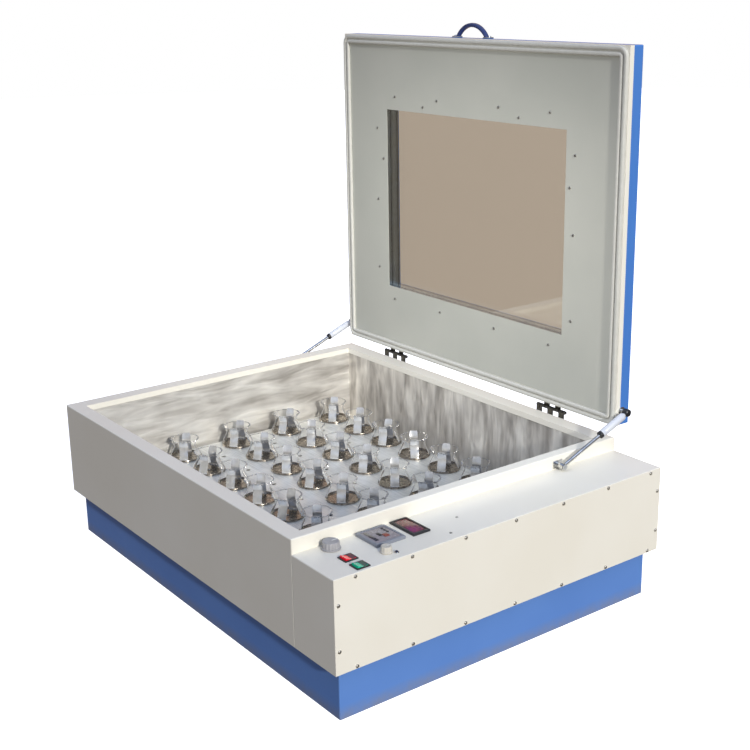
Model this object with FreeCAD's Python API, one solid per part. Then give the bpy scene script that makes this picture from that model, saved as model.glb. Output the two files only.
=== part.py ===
import FreeCAD, Part
import math
import os

# Large shaking water bath for flasks: a steel casing with a stainless tank, a shaken platform
# with spring clamps, a hinged lid with a window on two gas struts, and a control box on its right.
# Millimetres. +X is to the right, -Y is the front, +Z is up. The origin is the centre of the
# casing's outline on the floor. The lid stands open, as it is stored and loaded.

V = FreeCAD.Vector
os.makedirs("parts", exist_ok=True)

# ---- driving dimensions ----
TANK_W = 1050.0          # tank casing, left to right
BOX_W = 141.0            # control box on its right side
DEPTH = 900.0            # casing, front to back
PLINTH_H = 112.0         # height of the blue plinth
OVERHANG = 21.0          # casing past the plinth, all round
RIM_Z = 345.0            # top of the tank's rim
PANEL_Z = 313.0          # top of the control box
SHEET = 1.5              # painted steel sheet
LINER = 1.2              # stainless sheet of the tank and of the lid's lining

RIM_LEFT, RIM_RIGHT, RIM_FRONT, RIM_BACK = 43.0, 26.0, 36.0, 43.0
RIM_LIP = 14.0           # rim's edge, folded down over the tank
FLANGE = 25.0            # return flange under the casing
RETURN = 15.0            # return flange behind the side cover
FLOOR_Z = 128.0          # inside of the tank's floor
EDGE_R = 3.0             # rounded sheet edges

LEFT = -(TANK_W + BOX_W) / 2
WALL = LEFT + TANK_W     # right wall of the tank casing
RIGHT = WALL + BOX_W
FRONT = -DEPTH / 2
BACK = DEPTH / 2

TANK_X1 = LEFT + RIM_LEFT - SHEET
TANK_X2 = WALL - RIM_RIGHT + SHEET
TANK_Y1 = FRONT + RIM_FRONT - SHEET
TANK_Y2 = BACK - RIM_BACK + SHEET

# shaken platform
TRAY_Z = 165.0           # its top face
TRAY_SHEET = 2.0
TRAY_X1, TRAY_X2 = LEFT + 59.0, LEFT + 1013.5
TRAY_Y1, TRAY_Y2 = FRONT + 52.0, FRONT + 801.0
STROKE = 12.0            # crank radius: the platform moves this far each way
BEARER_Z = TRAY_Z - TRAY_SHEET - 6.0
BEARER_YS = (FRONT + 170.0, FRONT + 720.0)
ROD_XS = (LEFT + 200.0, LEFT + 870.0)
ROD_Z = 147.0
ROD_R = 6.0

# flask clamps
COLUMNS, ROWS = 8, 5
PITCH_X, PITCH_Y = 124.0, 160.0
CLAMP_X, CLAMP_Y = LEFT + 102.0, FRONT + 118.0
DISH_R = 42.5
FINGER_W = 22.0

# drive
SPINDLE_X, SPINDLE_Y = LEFT + 535.0, FRONT + 447.0
SPINDLE_R = 8.0
MOTOR_X = SPINDLE_X + 210.0
MOTOR_SHAFT_R = 6.0
PULLEY_Z = 12.0
PULLEY_H = 16.0
BIG_PULLEY_R, SMALL_PULLEY_R = 60.0, 20.0
GROOVE = 4.0
RUN = 0.05               # radial clearance of a running fit
GAP = 0.3                # clearance between other moving faces

# lid, standing open behind the rim
HINGE_Y = BACK + 5.0
HINGE_Z = RIM_Z + 13.0
SEAL_H = 8.0             # how far the seal stands proud of the lid's frame
SEAL_W = 22.0
SEAL_Y = HINGE_Y - (HINGE_Z - RIM_Z) + GAP
LID_Y = SEAL_Y + SEAL_H  # inner face of the lid's frame
FRAME_T = 13.0
SHELL_T = 30.0
LID_Z1, LID_Z2 = RIM_Z + 26.0, 1233.0
LID_LAP = 40.0           # width of the frame's face
WIN_X1, WIN_X2 = LEFT + 189.0, LEFT + 868.0
WIN_Z1, WIN_Z2 = 553.0, 1040.0
PANE = 4.0
HINGE_XS = (LEFT + 209.0, LEFT + 834.0)
KNUCKLE_R = 4.5
PIN_R = 2.0

# gas struts, one beside each side wall
STRUT_OUT = 18.0         # strut's centre line from the wall
STRUT_FOOT = (FRONT + 713.0, 324.0)
STRUT_HEAD = (FRONT + 917.0, 406.0)
STRUT_R = 9.0
STRUT_ROD_R = 4.5

# control panel
SCREW_R = 4.5
TIMER_AT = (WALL + 24.0, FRONT + 76.0)
RED_AT = (WALL + 81.0, FRONT + 76.0)
GREEN_AT = (WALL + 121.0, FRONT + 75.0)
CONTROLLER_AT = (WALL + 44.0, FRONT + 182.0)
SPEED_AT = (WALL + 105.0, FRONT + 150.0)
DISPLAY_AT = (WALL + 43.0, FRONT + 257.0)


# ---- shared shapes ----
def box(x1, x2, y1, y2, z1, z2):
    return Part.makeBox(x2 - x1, y2 - y1, z2 - z1, V(x1, y1, z1))


def bar(radius, start, end):
    """A round bar from one point to another."""
    a, b = V(*start), V(*end)
    return Part.makeCylinder(radius, (b - a).Length, a, b - a)


def tube(outer, inner, start, end):
    return bar(outer, start, end).cut(bar(inner, start, end))


def square_tube(x1, x2, y1, y2, z1, z2, along, wall=2.0):
    """A square steel tube, hollow along the named axis."""
    dx, dy, dz = {"x": (0, wall, wall), "y": (wall, 0, wall), "z": (wall, wall, 0)}[along]
    hollow = box(x1 + dx, x2 - dx, y1 + dy, y2 - dy, z1 + dz, z2 - dz)
    return box(x1, x2, y1, y2, z1, z2).cut(hollow)


def prism(points, direction):
    """A closed outline pushed along a direction."""
    outline = Part.makePolygon([V(*p) for p in points + points[:1]])
    return Part.Face(outline).extrude(V(*direction))


def rounded_plate(x1, x2, z1, z2, radius, y1, y2):
    """A standing plate with rounded corners."""
    plate = box(x1, x2, y1, y2, z1, z2)
    upright = [e for e in plate.Edges if abs(e.tangentAt(e.FirstParameter).y) > 0.99]
    return plate.makeFillet(radius, upright)


def turned(profile, x, y):
    """A solid of revolution about a vertical axis, from a list of (radius, height)."""
    outline = Part.makePolygon([V(x + r, y, z) for r, z in profile + profile[:1]])
    return Part.Face(outline).revolve(V(x, y, 0), V(0, 0, 1), 360)


def save(name, *solids):
    shape = solids[0] if len(solids) == 1 else Part.makeCompound(list(solids))
    shape.exportStep("parts/" + name + ".step")


def both_sides(make):
    """The right-hand piece beside the tank's right wall, and its mirror image beside the left wall."""
    right = make()
    return right.mirror(V((LEFT + WALL) / 2, 0, 0), V(1, 0, 0)), right


# ---- plinth and chassis ----
PL_X1, PL_X2 = LEFT + OVERHANG, RIGHT - OVERHANG
PL_Y1, PL_Y2 = FRONT + OVERHANG, BACK - OVERHANG
DRAIN_X, DRAIN_Z = LEFT + 120.0, 55.0
PIPE_R, PIPE_BORE = 10.0, 7.0
TUBE = 30.0
RAIL_Z = PLINTH_H        # top of the chassis rails, under the casing
RAIL_YS = (FRONT + 120.0, BACK - 120.0)
CROSS_XS = (LEFT + 170.0, SPINDLE_X - 110.0, MOTOR_X - 65.0, MOTOR_X + 65.0, WALL - 60.0)
MOTOR_PLATE_Z = 30.0
MOTOR_PLATE_T = 4.0


def plinth():
    inside = box(PL_X1 + SHEET, PL_X2 - SHEET, PL_Y1 + SHEET, PL_Y2 - SHEET, SHEET, PLINTH_H)
    skirt = box(PL_X1, PL_X2, PL_Y1, PL_Y2, 0, PLINTH_H)
    upright = [e for e in skirt.Edges if abs(e.tangentAt(e.FirstParameter).z) > 0.99]
    skirt = skirt.makeFillet(EDGE_R, upright).cut(inside)
    skirt = skirt.cut(bar(PIPE_R + GAP, (DRAIN_X, PL_Y2 - 10, DRAIN_Z), (DRAIN_X, PL_Y2 + 10, DRAIN_Z)))
    for i in range(8):
        x = MOTOR_X - 70 + 20 * i
        skirt = skirt.cut(box(x, x + 6, PL_Y2 - 10, PL_Y2 + 10, 30, 85))
    return skirt


def chassis():
    half = TUBE / 2
    low = RAIL_Z - TUBE
    x1, x2 = LEFT + FLANGE + 1, RIGHT - FLANGE - 1
    pieces = [square_tube(x1, x2, y - half, y + half, low, RAIL_Z, "x") for y in RAIL_YS]
    y1, y2 = RAIL_YS[0] + half, RAIL_YS[1] - half
    pieces += [square_tube(x - half, x + half, y1, y2, low, RAIL_Z, "y") for x in CROSS_XS]
    leg_xs = (x1 + half, CROSS_XS[1], CROSS_XS[4], x2 - half)
    for x in leg_xs:
        for y in RAIL_YS:
            pieces.append(square_tube(x - half, x + half, y - half, y + half, SHEET, low, "z"))
    return pieces


def motor_bracket():
    """A folded tray that hangs the motor's plate under two cross rails."""
    top = RAIL_Z - TUBE
    reach = 67.0
    x1, x2, y1, y2 = MOTOR_X - reach, MOTOR_X + reach, SPINDLE_Y - 65, SPINDLE_Y + 65
    tray = box(x1, x2, y1, y2, MOTOR_PLATE_Z, top)
    tray = tray.cut(box(x1 + 4, x2 - 4, y1, y2, MOTOR_PLATE_Z + MOTOR_PLATE_T, top))
    return tray.cut(bar(12, (MOTOR_X, SPINDLE_Y, 0), (MOTOR_X, SPINDLE_Y, 60)))


save("plinth", plinth())
save("chassis_frame", *chassis(), motor_bracket())

# ---- tank casing, liner and insulation ----
HEATER_Z = 134.0
HEATER_R = 5.0
HEATER_YS = (FRONT + 250.0, FRONT + 590.0)
HEATER_SPAN = 60.0
PROBE_Y, PROBE_Z, PROBE_R = FRONT + 380.0, 149.0, 3.0
HOUSING_R = 20.0
WALL_BORES = [(y + s, HEATER_Z, HEATER_R) for y in HEATER_YS for s in (0.0, HEATER_SPAN)]
WALL_BORES.append((PROBE_Y, PROBE_Z, PROBE_R))
DRAIN_Y = BACK - 70.0


def drill_wall(shape):
    """The right wall's holes for the heaters and the temperature probe."""
    for y, z, radius in WALL_BORES:
        shape = shape.cut(bar(radius + GAP, (TANK_X2 - 5, y, z), (WALL + 5, y, z)))
    return shape


def rounded_casing(x1, x2, y1, y2, z1, z2):
    """A casing's outside: rounded upright and top edges."""
    block = box(x1, x2, y1, y2, z1, z2)
    keep = []
    for e in block.Edges:
        middle = e.valueAt((e.FirstParameter + e.LastParameter) / 2)
        if abs(middle.z - z1) > 1.0:
            keep.append(e)
    return block.makeFillet(EDGE_R, keep)


def tank_case():
    x1, x2, y1, y2 = LEFT, WALL, FRONT, BACK
    shell = rounded_casing(x1, x2, y1, y2, PLINTH_H, RIM_Z)
    shell = shell.cut(box(x1 + SHEET, x2 - SHEET, y1 + SHEET, y2 - SHEET, PLINTH_H + SHEET, RIM_Z - SHEET))
    shell = shell.cut(box(x1 + FLANGE, x2 - FLANGE, y1 + FLANGE, y2 - FLANGE, 0, PLINTH_H + SHEET))
    mouth = box(x1 + RIM_LEFT, x2 - RIM_RIGHT, y1 + RIM_FRONT, y2 - RIM_BACK, RIM_Z - 40, RIM_Z)
    lip = box(TANK_X1, TANK_X2, TANK_Y1, TANK_Y2, RIM_Z - RIM_LIP, RIM_Z - SHEET)
    return drill_wall(shell.fuse(lip).cut(mouth))


TANK_OUT = (TANK_X1 - LINER, TANK_X2 + LINER, TANK_Y1 - LINER, TANK_Y2 + LINER)


def drill_floor(shape, drain_radius):
    """The floor's holes for the spindle's housing and the drain."""
    low, high = PLINTH_H - 10, FLOOR_Z + 10
    shape = shape.cut(bar(HOUSING_R + GAP, (SPINDLE_X, SPINDLE_Y, low), (SPINDLE_X, SPINDLE_Y, high)))
    return shape.cut(bar(drain_radius, (DRAIN_X, DRAIN_Y, low), (DRAIN_X, DRAIN_Y, high)))


def tank_liner():
    """The tank's floor and its four walls, butted and welded at the corners."""
    x1, x2, y1, y2 = TANK_OUT
    low, top = FLOOR_Z, RIM_Z - SHEET
    floor = drill_floor(box(x1, x2, y1, y2, low - LINER, low), PIPE_BORE)
    left = box(x1, TANK_X1, y1, y2, low, top)
    right = drill_wall(box(TANK_X2, x2, y1, y2, low, top))
    front = box(TANK_X1, TANK_X2, y1, TANK_Y1, low, top)
    back = box(TANK_X1, TANK_X2, TANK_Y2, y2, low, top)
    return [floor, left, right, front, back]


def tank_insulation():
    """Foam between the casing and the tank, and in the opening of the casing's underside."""
    foam = box(LEFT + SHEET, WALL - SHEET, FRONT + SHEET, BACK - SHEET, PLINTH_H + SHEET, RIM_Z - SHEET)
    plug = box(LEFT + FLANGE, WALL - FLANGE, FRONT + FLANGE, BACK - FLANGE, PLINTH_H, PLINTH_H + SHEET)
    foam = foam.fuse(plug).cut(box(*TANK_OUT, FLOOR_Z - LINER, RIM_Z))
    return drill_wall(drill_floor(foam, PIPE_R + GAP))


save("tank_case", tank_case())
save("tank_liner", *tank_liner())
save("tank_insulation", tank_insulation())

# ---- control box, its side cover and the cover's screws ----
GLAND_X, GLAND_Z = WALL + 100.0, 150.0
TOP_SCREW_Z, LOW_SCREW_Z = 306.5, 118.0
ROW_YS = [FRONT + 50.0 + 136.0 * i for i in range(7)]
END_YS = (FRONT + 9.5, BACK - 9.5)
COVER_SCREWS = [(y, z) for y in ROW_YS[:-1] + [BACK - 34.0] for z in (TOP_SCREW_Z, LOW_SCREW_Z)]
COVER_SCREWS += [(y, z) for y in END_YS for z in (258.0, 162.0)]
ROCKER_CUT = (24.6, 28.6)
CONTROLLER_W, CONTROLLER_BODY = 72.0, 66.0
DISPLAY_SIZE, DISPLAY_BODY = (79.0, 43.0), (72.0, 38.0)
KNOB_SHAFT_R = 3.0


def centred(at, size, z1, z2):
    """An upright block centred on a place on the panel."""
    return box(at[0] - size[0] / 2, at[0] + size[0] / 2, at[1] - size[1] / 2, at[1] + size[1] / 2, z1, z2)


def drill_cover(shape):
    for y, z in COVER_SCREWS:
        shape = shape.cut(bar(2.1, (RIGHT - 10, y, z), (RIGHT + 5, y, z)))
    return shape


def control_box():
    x2 = RIGHT - SHEET
    shell = box(WALL, x2, FRONT, BACK, PLINTH_H, PANEL_Z)
    along_x = [e for e in shell.Edges if abs(e.tangentAt(e.FirstParameter).x) > 0.99]
    top_edges = [e for e in along_x if e.valueAt(e.FirstParameter).z > PANEL_Z - 1]
    shell = shell.makeFillet(EDGE_R, top_edges)
    inner = box(WALL, x2 - SHEET, FRONT + SHEET, BACK - SHEET, PLINTH_H + SHEET, PANEL_Z - SHEET)
    shell = shell.cut(inner)
    shell = shell.cut(box(WALL, x2 - FLANGE, FRONT + FLANGE, BACK - FLANGE, 0, PLINTH_H + SHEET))
    window = box(x2 - 5, x2 + 5, FRONT + SHEET + RETURN, BACK - SHEET - RETURN,
                 PLINTH_H + SHEET + RETURN, PANEL_Z - SHEET - RETURN)
    shell = shell.cut(window)
    low, high = PANEL_Z - 10, PANEL_Z + 10
    for at, size in ((RED_AT, ROCKER_CUT), (GREEN_AT, ROCKER_CUT), (DISPLAY_AT, DISPLAY_BODY),
                     (CONTROLLER_AT, (CONTROLLER_BODY, CONTROLLER_BODY))):
        shell = shell.cut(centred(at, size, low, high))
    for at in (TIMER_AT, SPEED_AT):
        shell = shell.cut(bar(KNOB_SHAFT_R + 0.5, (*at, low), (*at, high)))
    shell = shell.cut(bar(8.0, (GLAND_X, BACK - 10, GLAND_Z), (GLAND_X, BACK + 10, GLAND_Z)))
    for i in range(6):
        z = 200 + 14 * i
        shell = shell.cut(box(WALL + 40, WALL + 110, BACK - 10, BACK + 10, z, z + 5))
    return drill_cover(shell)


def side_cover():
    cover = box(RIGHT - SHEET, RIGHT, FRONT, BACK, PLINTH_H, PANEL_Z)
    rim = [e for e in cover.Edges if abs(e.valueAt(e.FirstParameter).x - RIGHT) < 0.1
           and abs(e.valueAt(e.LastParameter).x - RIGHT) < 0.1]
    return drill_cover(cover.makeChamfer(0.8, rim))


def cover_screw(y, z):
    head = bar(SCREW_R, (RIGHT, y, z), (RIGHT + 2.4, y, z))
    head = head.makeFillet(1.4, [head.Edges[0]])
    cross = box(RIGHT + 1.2, RIGHT + 3, y - 2.4, y + 2.4, z - 0.5, z + 0.5)
    cross = cross.fuse(box(RIGHT + 1.2, RIGHT + 3, y - 0.5, y + 0.5, z - 2.4, z + 2.4))
    return head.cut(cross).fuse(bar(1.9, (RIGHT - 8, y, z), (RIGHT + 0.5, y, z)))


save("control_box", control_box())
save("side_cover", side_cover())
save("cover_screws", *[cover_screw(y, z) for y, z in COVER_SCREWS])

# ---- instruments in the control panel ----
BEZEL = (27.0, 31.0)
BEZEL_T = 2.5
POCKET = (22.0, 26.4)
ROCKER_PIVOT_Z = PANEL_Z + 0.5
ROCKER_TILT = 7.0


def rocker_housing(at):
    body = centred(at, BEZEL, PANEL_Z, PANEL_Z + BEZEL_T)
    body = body.fuse(centred(at, (ROCKER_CUT[0] - 0.2, ROCKER_CUT[1] - 0.2), PANEL_Z - 24, PANEL_Z))
    return body.cut(centred(at, POCKET, PANEL_Z - 13, PANEL_Z + 10))


def rocker(at):
    """A rocker cap, pressed down at its back end, with a shallow V across its top."""
    x, y = at
    half = 10.6
    outline = [(-11.5, 4.5), (0, 1.8), (11.5, 4.5), (11.5, 0.5), (7, -7), (-7, -7), (-11.5, 0.5)]
    cap = prism([(x - half, y + b, ROCKER_PIVOT_Z + c) for b, c in outline], (2 * half, 0, 0))
    cap.rotate(V(x, y, ROCKER_PIVOT_Z), V(1, 0, 0), -ROCKER_TILT)
    return cap


def rotary_controls():
    """The timer's and the speed setting's bodies, under the panel."""
    top = PANEL_Z - SHEET
    timer = centred((TIMER_AT[0] + 1, TIMER_AT[1]), (44.0, 50.0), top - 55, top)
    speed = bar(12, (SPEED_AT[0], SPEED_AT[1], top - 20), (SPEED_AT[0], SPEED_AT[1], top))
    pieces = []
    for body, at in ((timer, TIMER_AT), (speed, SPEED_AT)):
        bore = bar(KNOB_SHAFT_R + RUN, (at[0], at[1], top - 14), (at[0], at[1], top + 1))
        pieces.append(body.cut(bore))
    return pieces


def knob(at, radius, height):
    """A round knob with a tapered, fluted grip, a pointer ridge and its shaft."""
    x, y = at
    low = PANEL_Z + GAP + 0.2
    grip = Part.makeCone(radius, radius * 0.86, height - 3, V(x, y, low + 3))
    skirt = bar(radius * 1.0, (x, y, low), (x, y, low + 3))
    body = skirt.fuse(grip)
    for i in range(12):
        angle = math.radians(30 * i + 15)
        fx, fy = x + radius * 1.02 * math.cos(angle), y + radius * 1.02 * math.sin(angle)
        body = body.cut(bar(radius * 0.12, (fx, fy, low + 3), (fx, fy, low + height + 1)))
    pointer = box(x - 0.8, x + 0.8, y, y + radius * 0.8, low + height - 0.2, low + height + 0.6)
    shaft = bar(KNOB_SHAFT_R, (x, y, PANEL_Z - SHEET - 12), (x, y, low + 1))
    return body.fuse([pointer, shaft])


def controller_housing():
    body = centred(CONTROLLER_AT, (CONTROLLER_BODY - 0.4, CONTROLLER_BODY - 0.4), PANEL_Z - 70, PANEL_Z)
    bezel = centred(CONTROLLER_AT, (CONTROLLER_W, CONTROLLER_W), PANEL_Z, PANEL_Z + 7)
    bezel = bezel.makeChamfer(1.5, [e for e in bezel.Edges if e.BoundBox.ZMin > PANEL_Z + 6])
    return body.fuse(bezel).cut(centred(CONTROLLER_AT, (60.0, 60.0), PANEL_Z + 5, PANEL_Z + 10))


def display_bezel():
    body = centred(DISPLAY_AT, (DISPLAY_BODY[0] - 0.4, DISPLAY_BODY[1] - 0.4), PANEL_Z - 45, PANEL_Z)
    bezel = centred(DISPLAY_AT, DISPLAY_SIZE, PANEL_Z, PANEL_Z + 5)
    bezel = bezel.makeChamfer(1.5, [e for e in bezel.Edges if e.BoundBox.ZMin > PANEL_Z + 4])
    return body.fuse(bezel).cut(centred(DISPLAY_AT, (69.0, 33.0), PANEL_Z + 2.5, PANEL_Z + 10))


def control_board():
    """The power board on four posts, with its transformer and a relay."""
    x1, x2, y1, y2, z = WALL + 28, WALL + 112, FRONT + 420, FRONT + 620, 128.0
    posts = [bar(3, (x, y, PLINTH_H + SHEET), (x, y, z))
             for x in (x1 + 8, x2 - 8) for y in (y1 + 8, y2 - 8)]
    tray = box(WALL, RIGHT - SHEET - FLANGE, y1 - 10, y2 + 10, PLINTH_H, PLINTH_H + SHEET)
    board = box(x1, x2, y1, y2, z, z + 1.6)
    transformer = box(x1 + 20, x2 - 15, y1 + 30, y1 + 90, z + 1.6, z + 50)
    relay = box(x1 + 30, x1 + 60, y2 - 60, y2 - 30, z + 1.6, z + 27)
    return [tray, board, transformer, relay] + posts


def cord_gland():
    """The power cord's gland in the back of the control box."""
    x, z = GLAND_X, GLAND_Z
    body = bar(8.0, (x, BACK - 12, z), (x, BACK + 2, z)).fuse(bar(12, (x, BACK, z), (x, BACK + 6, z)))
    body = body.fuse(Part.makeCone(11, 7.5, 14, V(x, BACK + 6, z), V(0, 1, 0)))
    body = body.fuse(bar(11.5, (x, BACK - SHEET - 5, z), (x, BACK - SHEET, z)))
    return body.cut(bar(4.5, (x, BACK - 20, z), (x, BACK + 40, z)))


save("rocker_housings", rocker_housing(RED_AT), rocker_housing(GREEN_AT))
save("red_rocker", rocker(RED_AT))
save("green_rocker", rocker(GREEN_AT))
save("rotary_controls", *rotary_controls())
save("timer_knob", knob(TIMER_AT, 20.0, 17.0))
save("speed_knob", knob(SPEED_AT, 12.5, 14.0))
save("controller_housing", controller_housing())
save("controller_face", centred(CONTROLLER_AT, (60.0, 60.0), PANEL_Z + 5, PANEL_Z + 6.4))
save("display_bezel", display_bezel())
save("display_lens", centred(DISPLAY_AT, (69.0, 33.0), PANEL_Z + 2.5, PANEL_Z + 4.3))
save("control_board", *control_board())
save("cord_gland", cord_gland())


# ---- heaters, probe and drain in the tank ----
def heater(y):
    """A bent tubular heater on the tank's floor, its ends through the right wall."""
    x_end, x_far = WALL + 22.0, LEFT + 300.0
    turn = HEATER_SPAN / 2
    legs = [bar(HEATER_R, (x_far, y + s, HEATER_Z), (x_end, y + s, HEATER_Z)) for s in (0.0, HEATER_SPAN)]
    bend = Part.makeTorus(turn, HEATER_R, V(x_far, y + turn, HEATER_Z), V(0, 0, 1))
    bend = bend.common(box(x_far - 50, x_far, y - 20, y + HEATER_SPAN + 20, 100, 160))
    shape = legs[0].fuse([legs[1], bend])
    for s in (0.0, HEATER_SPAN):
        nut = bar(10, (WALL, y + s, HEATER_Z), (WALL + 7, y + s, HEATER_Z))
        collar = bar(5.8, (TANK_X2 - 4, y + s, HEATER_Z), (TANK_X2, y + s, HEATER_Z))
        shape = shape.fuse([nut, collar])
    return shape


def temperature_probe():
    stem = bar(PROBE_R, (WALL - 130, PROBE_Y, PROBE_Z), (WALL + 20, PROBE_Y, PROBE_Z))
    nut = bar(8, (WALL, PROBE_Y, PROBE_Z), (WALL + 6, PROBE_Y, PROBE_Z))
    collar = bar(5.8, (TANK_X2 - 3, PROBE_Y, PROBE_Z), (TANK_X2, PROBE_Y, PROBE_Z))
    return stem.fuse([nut, collar])


VALVE_Y = BACK - 7.0


def drain_valve():
    """The drain pipe under the tank and a ball valve behind the plinth."""
    x, z = DRAIN_X, DRAIN_Z
    top = FLOOR_Z - LINER
    solid = bar(PIPE_R, (x, DRAIN_Y, z), (x, DRAIN_Y, top))
    solid = solid.fuse(Part.makeSphere(PIPE_R, V(x, DRAIN_Y, z)))
    solid = solid.fuse(bar(PIPE_R, (x, DRAIN_Y, z), (x, BACK + 18, z)))
    solid = solid.fuse(bar(15, (x, BACK - 17, z), (x, BACK + 4, z)))
    solid = solid.fuse(bar(7, (x, VALVE_Y, z), (x, VALVE_Y, z + 20)))
    bore = bar(PIPE_BORE, (x, DRAIN_Y, z), (x, DRAIN_Y, top + 1))
    bore = bore.fuse(bar(PIPE_BORE, (x, DRAIN_Y, z), (x, BACK + 20, z)))
    return solid.cut(bore)


def drain_lever():
    x, y, z = DRAIN_X, VALVE_Y, DRAIN_Z + 20 + GAP
    lever = box(x, x + 60, y - 5.5, y + 5.5, z, z + 3).fuse(bar(5.5, (x + 60, y, z), (x + 60, y, z + 3)))
    return lever.fuse(bar(7, (x, y, z), (x, y, z + 6)))


save("heaters", *[heater(y) for y in HEATER_YS])
save("temperature_probe", temperature_probe())
save("drain_valve", drain_valve())
save("drain_lever", drain_lever())

# ---- drive under the tank ----
HOUSING_Z1, HOUSING_Z2 = 60.0, 146.0
BEARING_R = 15.0
DISC_Z = HOUSING_Z2 + 1.5
DISC_T = 5.5


def spindle_ring(z1, z2):
    return tube(BEARING_R, SPINDLE_R + RUN, (SPINDLE_X, SPINDLE_Y, z1), (SPINDLE_X, SPINDLE_Y, z2))


def spindle_housing():
    profile = [(BEARING_R, HOUSING_Z1), (HOUSING_R, HOUSING_Z1), (HOUSING_R, FLOOR_Z), (38, FLOOR_Z),
               (38, FLOOR_Z + 5), (HOUSING_R, FLOOR_Z + 5), (HOUSING_R, HOUSING_Z2), (BEARING_R, HOUSING_Z2)]
    return turned(profile, SPINDLE_X, SPINDLE_Y)


def crank_spindle():
    shaft = bar(SPINDLE_R, (SPINDLE_X, SPINDLE_Y, PULLEY_Z - 3), (SPINDLE_X, SPINDLE_Y, DISC_Z + 1))
    disc_top = DISC_Z + DISC_T
    disc = bar(28, (SPINDLE_X, SPINDLE_Y, DISC_Z), (SPINDLE_X, SPINDLE_Y, disc_top))
    pin_x = SPINDLE_X + STROKE
    pin = bar(4, (pin_x, SPINDLE_Y, disc_top - 1), (pin_x, SPINDLE_Y, BEARER_Z - 0.5))
    return shaft.fuse([disc, pin])


def pulley(x, radius, bore):
    """A flat-belt pulley with a flange on each side."""
    z1, z2 = PULLEY_Z, PULLEY_Z + PULLEY_H
    low, high, inner = z1 + 2.5, z2 - 2.5, radius - GROOVE
    profile = [(bore, z1), (radius, z1), (radius, low), (inner, low), (inner, high), (radius, high),
               (radius, z2), (bore, z2)]
    return turned(profile, x, SPINDLE_Y)


def belt_outline(extra, z):
    """The belt's loop round both pulleys, a distance outside their grooves."""
    r1, r2 = BIG_PULLEY_R - GROOVE + extra, SMALL_PULLEY_R - GROOVE + extra
    a = math.acos((r1 - r2) / (MOTOR_X - SPINDLE_X))

    def on(centre, radius, angle):
        return V(centre + radius * math.cos(angle), SPINDLE_Y + radius * math.sin(angle), z)

    big = Part.Arc(on(SPINDLE_X, r1, a), on(SPINDLE_X, r1, math.pi), on(SPINDLE_X, r1, -a)).toShape()
    small = Part.Arc(on(MOTOR_X, r2, -a), on(MOTOR_X, r2, 0), on(MOTOR_X, r2, a)).toShape()
    runs = [Part.makeLine(on(SPINDLE_X, r1, s * a), on(MOTOR_X, r2, s * a)) for s in (-1, 1)]
    return Part.Wire([big, runs[0], small, runs[1]])


def drive_belt():
    z1, z2 = PULLEY_Z + 3, PULLEY_Z + PULLEY_H - 3
    outer = Part.Face(belt_outline(GAP + 3, z1)).extrude(V(0, 0, z2 - z1))
    return outer.cut(Part.Face(belt_outline(GAP, z1)).extrude(V(0, 0, z2 - z1)))


def drive_motor():
    z = MOTOR_PLATE_Z + MOTOR_PLATE_T
    body = bar(45, (MOTOR_X, SPINDLE_Y, z + 8), (MOTOR_X, SPINDLE_Y, z + 70))
    flange = box(MOTOR_X - 46, MOTOR_X + 46, SPINDLE_Y - 46, SPINDLE_Y + 46, z, z + 8)
    bore = bar(MOTOR_SHAFT_R + RUN, (MOTOR_X, SPINDLE_Y, 0), (MOTOR_X, SPINDLE_Y, z + 50))
    return body.fuse(flange).cut(bore)


save("drive_motor", drive_motor())
motor_shaft = bar(MOTOR_SHAFT_R, (MOTOR_X, SPINDLE_Y, PULLEY_Z - 3), (MOTOR_X, SPINDLE_Y, 80))
save("motor_pulley", pulley(MOTOR_X, SMALL_PULLEY_R, MOTOR_SHAFT_R), motor_shaft)
save("drive_belt", drive_belt())
save("spindle_pulley", pulley(SPINDLE_X, BIG_PULLEY_R, SPINDLE_R))
save("crank_spindle", crank_spindle())
save("spindle_housing", spindle_housing())
save("spindle_bearings", spindle_ring(64, 76), spindle_ring(118, 130))
save("shaft_seal", spindle_ring(137, 143))


# ---- guides and shaken platform ----
def rod_support(x, y):
    block = box(x - 14, x + 14, y - 8, y + 8, FLOOR_Z, BEARER_Z - 3)
    return block.cut(bar(ROD_R, (x, y - 20, ROD_Z), (x, y + 20, ROD_Z)))


def slide_bush(x, y):
    block = box(x - 14, x + 14, y - 20, y + 20, ROD_Z - 10, BEARER_Z)
    return block.cut(bar(ROD_R + RUN, (x, y - 30, ROD_Z), (x, y + 30, ROD_Z)))


def platform_tray():
    drop = 8.0
    tray = box(TRAY_X1, TRAY_X2, TRAY_Y1, TRAY_Y2, TRAY_Z - TRAY_SHEET - drop, TRAY_Z)
    tray = tray.cut(box(TRAY_X1 + TRAY_SHEET, TRAY_X2 - TRAY_SHEET, TRAY_Y1 + TRAY_SHEET,
                        TRAY_Y2 - TRAY_SHEET, 0, TRAY_Z - TRAY_SHEET))
    holes = []
    for i in range(COLUMNS - 1):
        for j in range(ROWS - 1):
            x, y = CLAMP_X + PITCH_X * (i + 0.5), CLAMP_Y + PITCH_Y * (j + 0.5)
            holes.append(bar(6, (x, y, TRAY_Z - 5), (x, y, TRAY_Z + 5)))
    return tray.cut(Part.makeCompound(holes))


def platform_bearers():
    """Two flat bars across the tray, and a spine between them with the crank's slot."""
    x1, x2 = LEFT + 90, LEFT + 980
    top = TRAY_Z - TRAY_SHEET
    bars = [box(x1, x2, y - 15, y + 15, BEARER_Z, top) for y in BEARER_YS]
    spine = box(SPINDLE_X - 32, SPINDLE_X + 32, BEARER_YS[0] + 15, BEARER_YS[1] - 15, BEARER_Z, top)
    slot = box(SPINDLE_X - 18, SPINDLE_X + 18, SPINDLE_Y - 4.2, SPINDLE_Y + 4.2, 0, top)
    return bars + [spine.cut(slot)]


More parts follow.
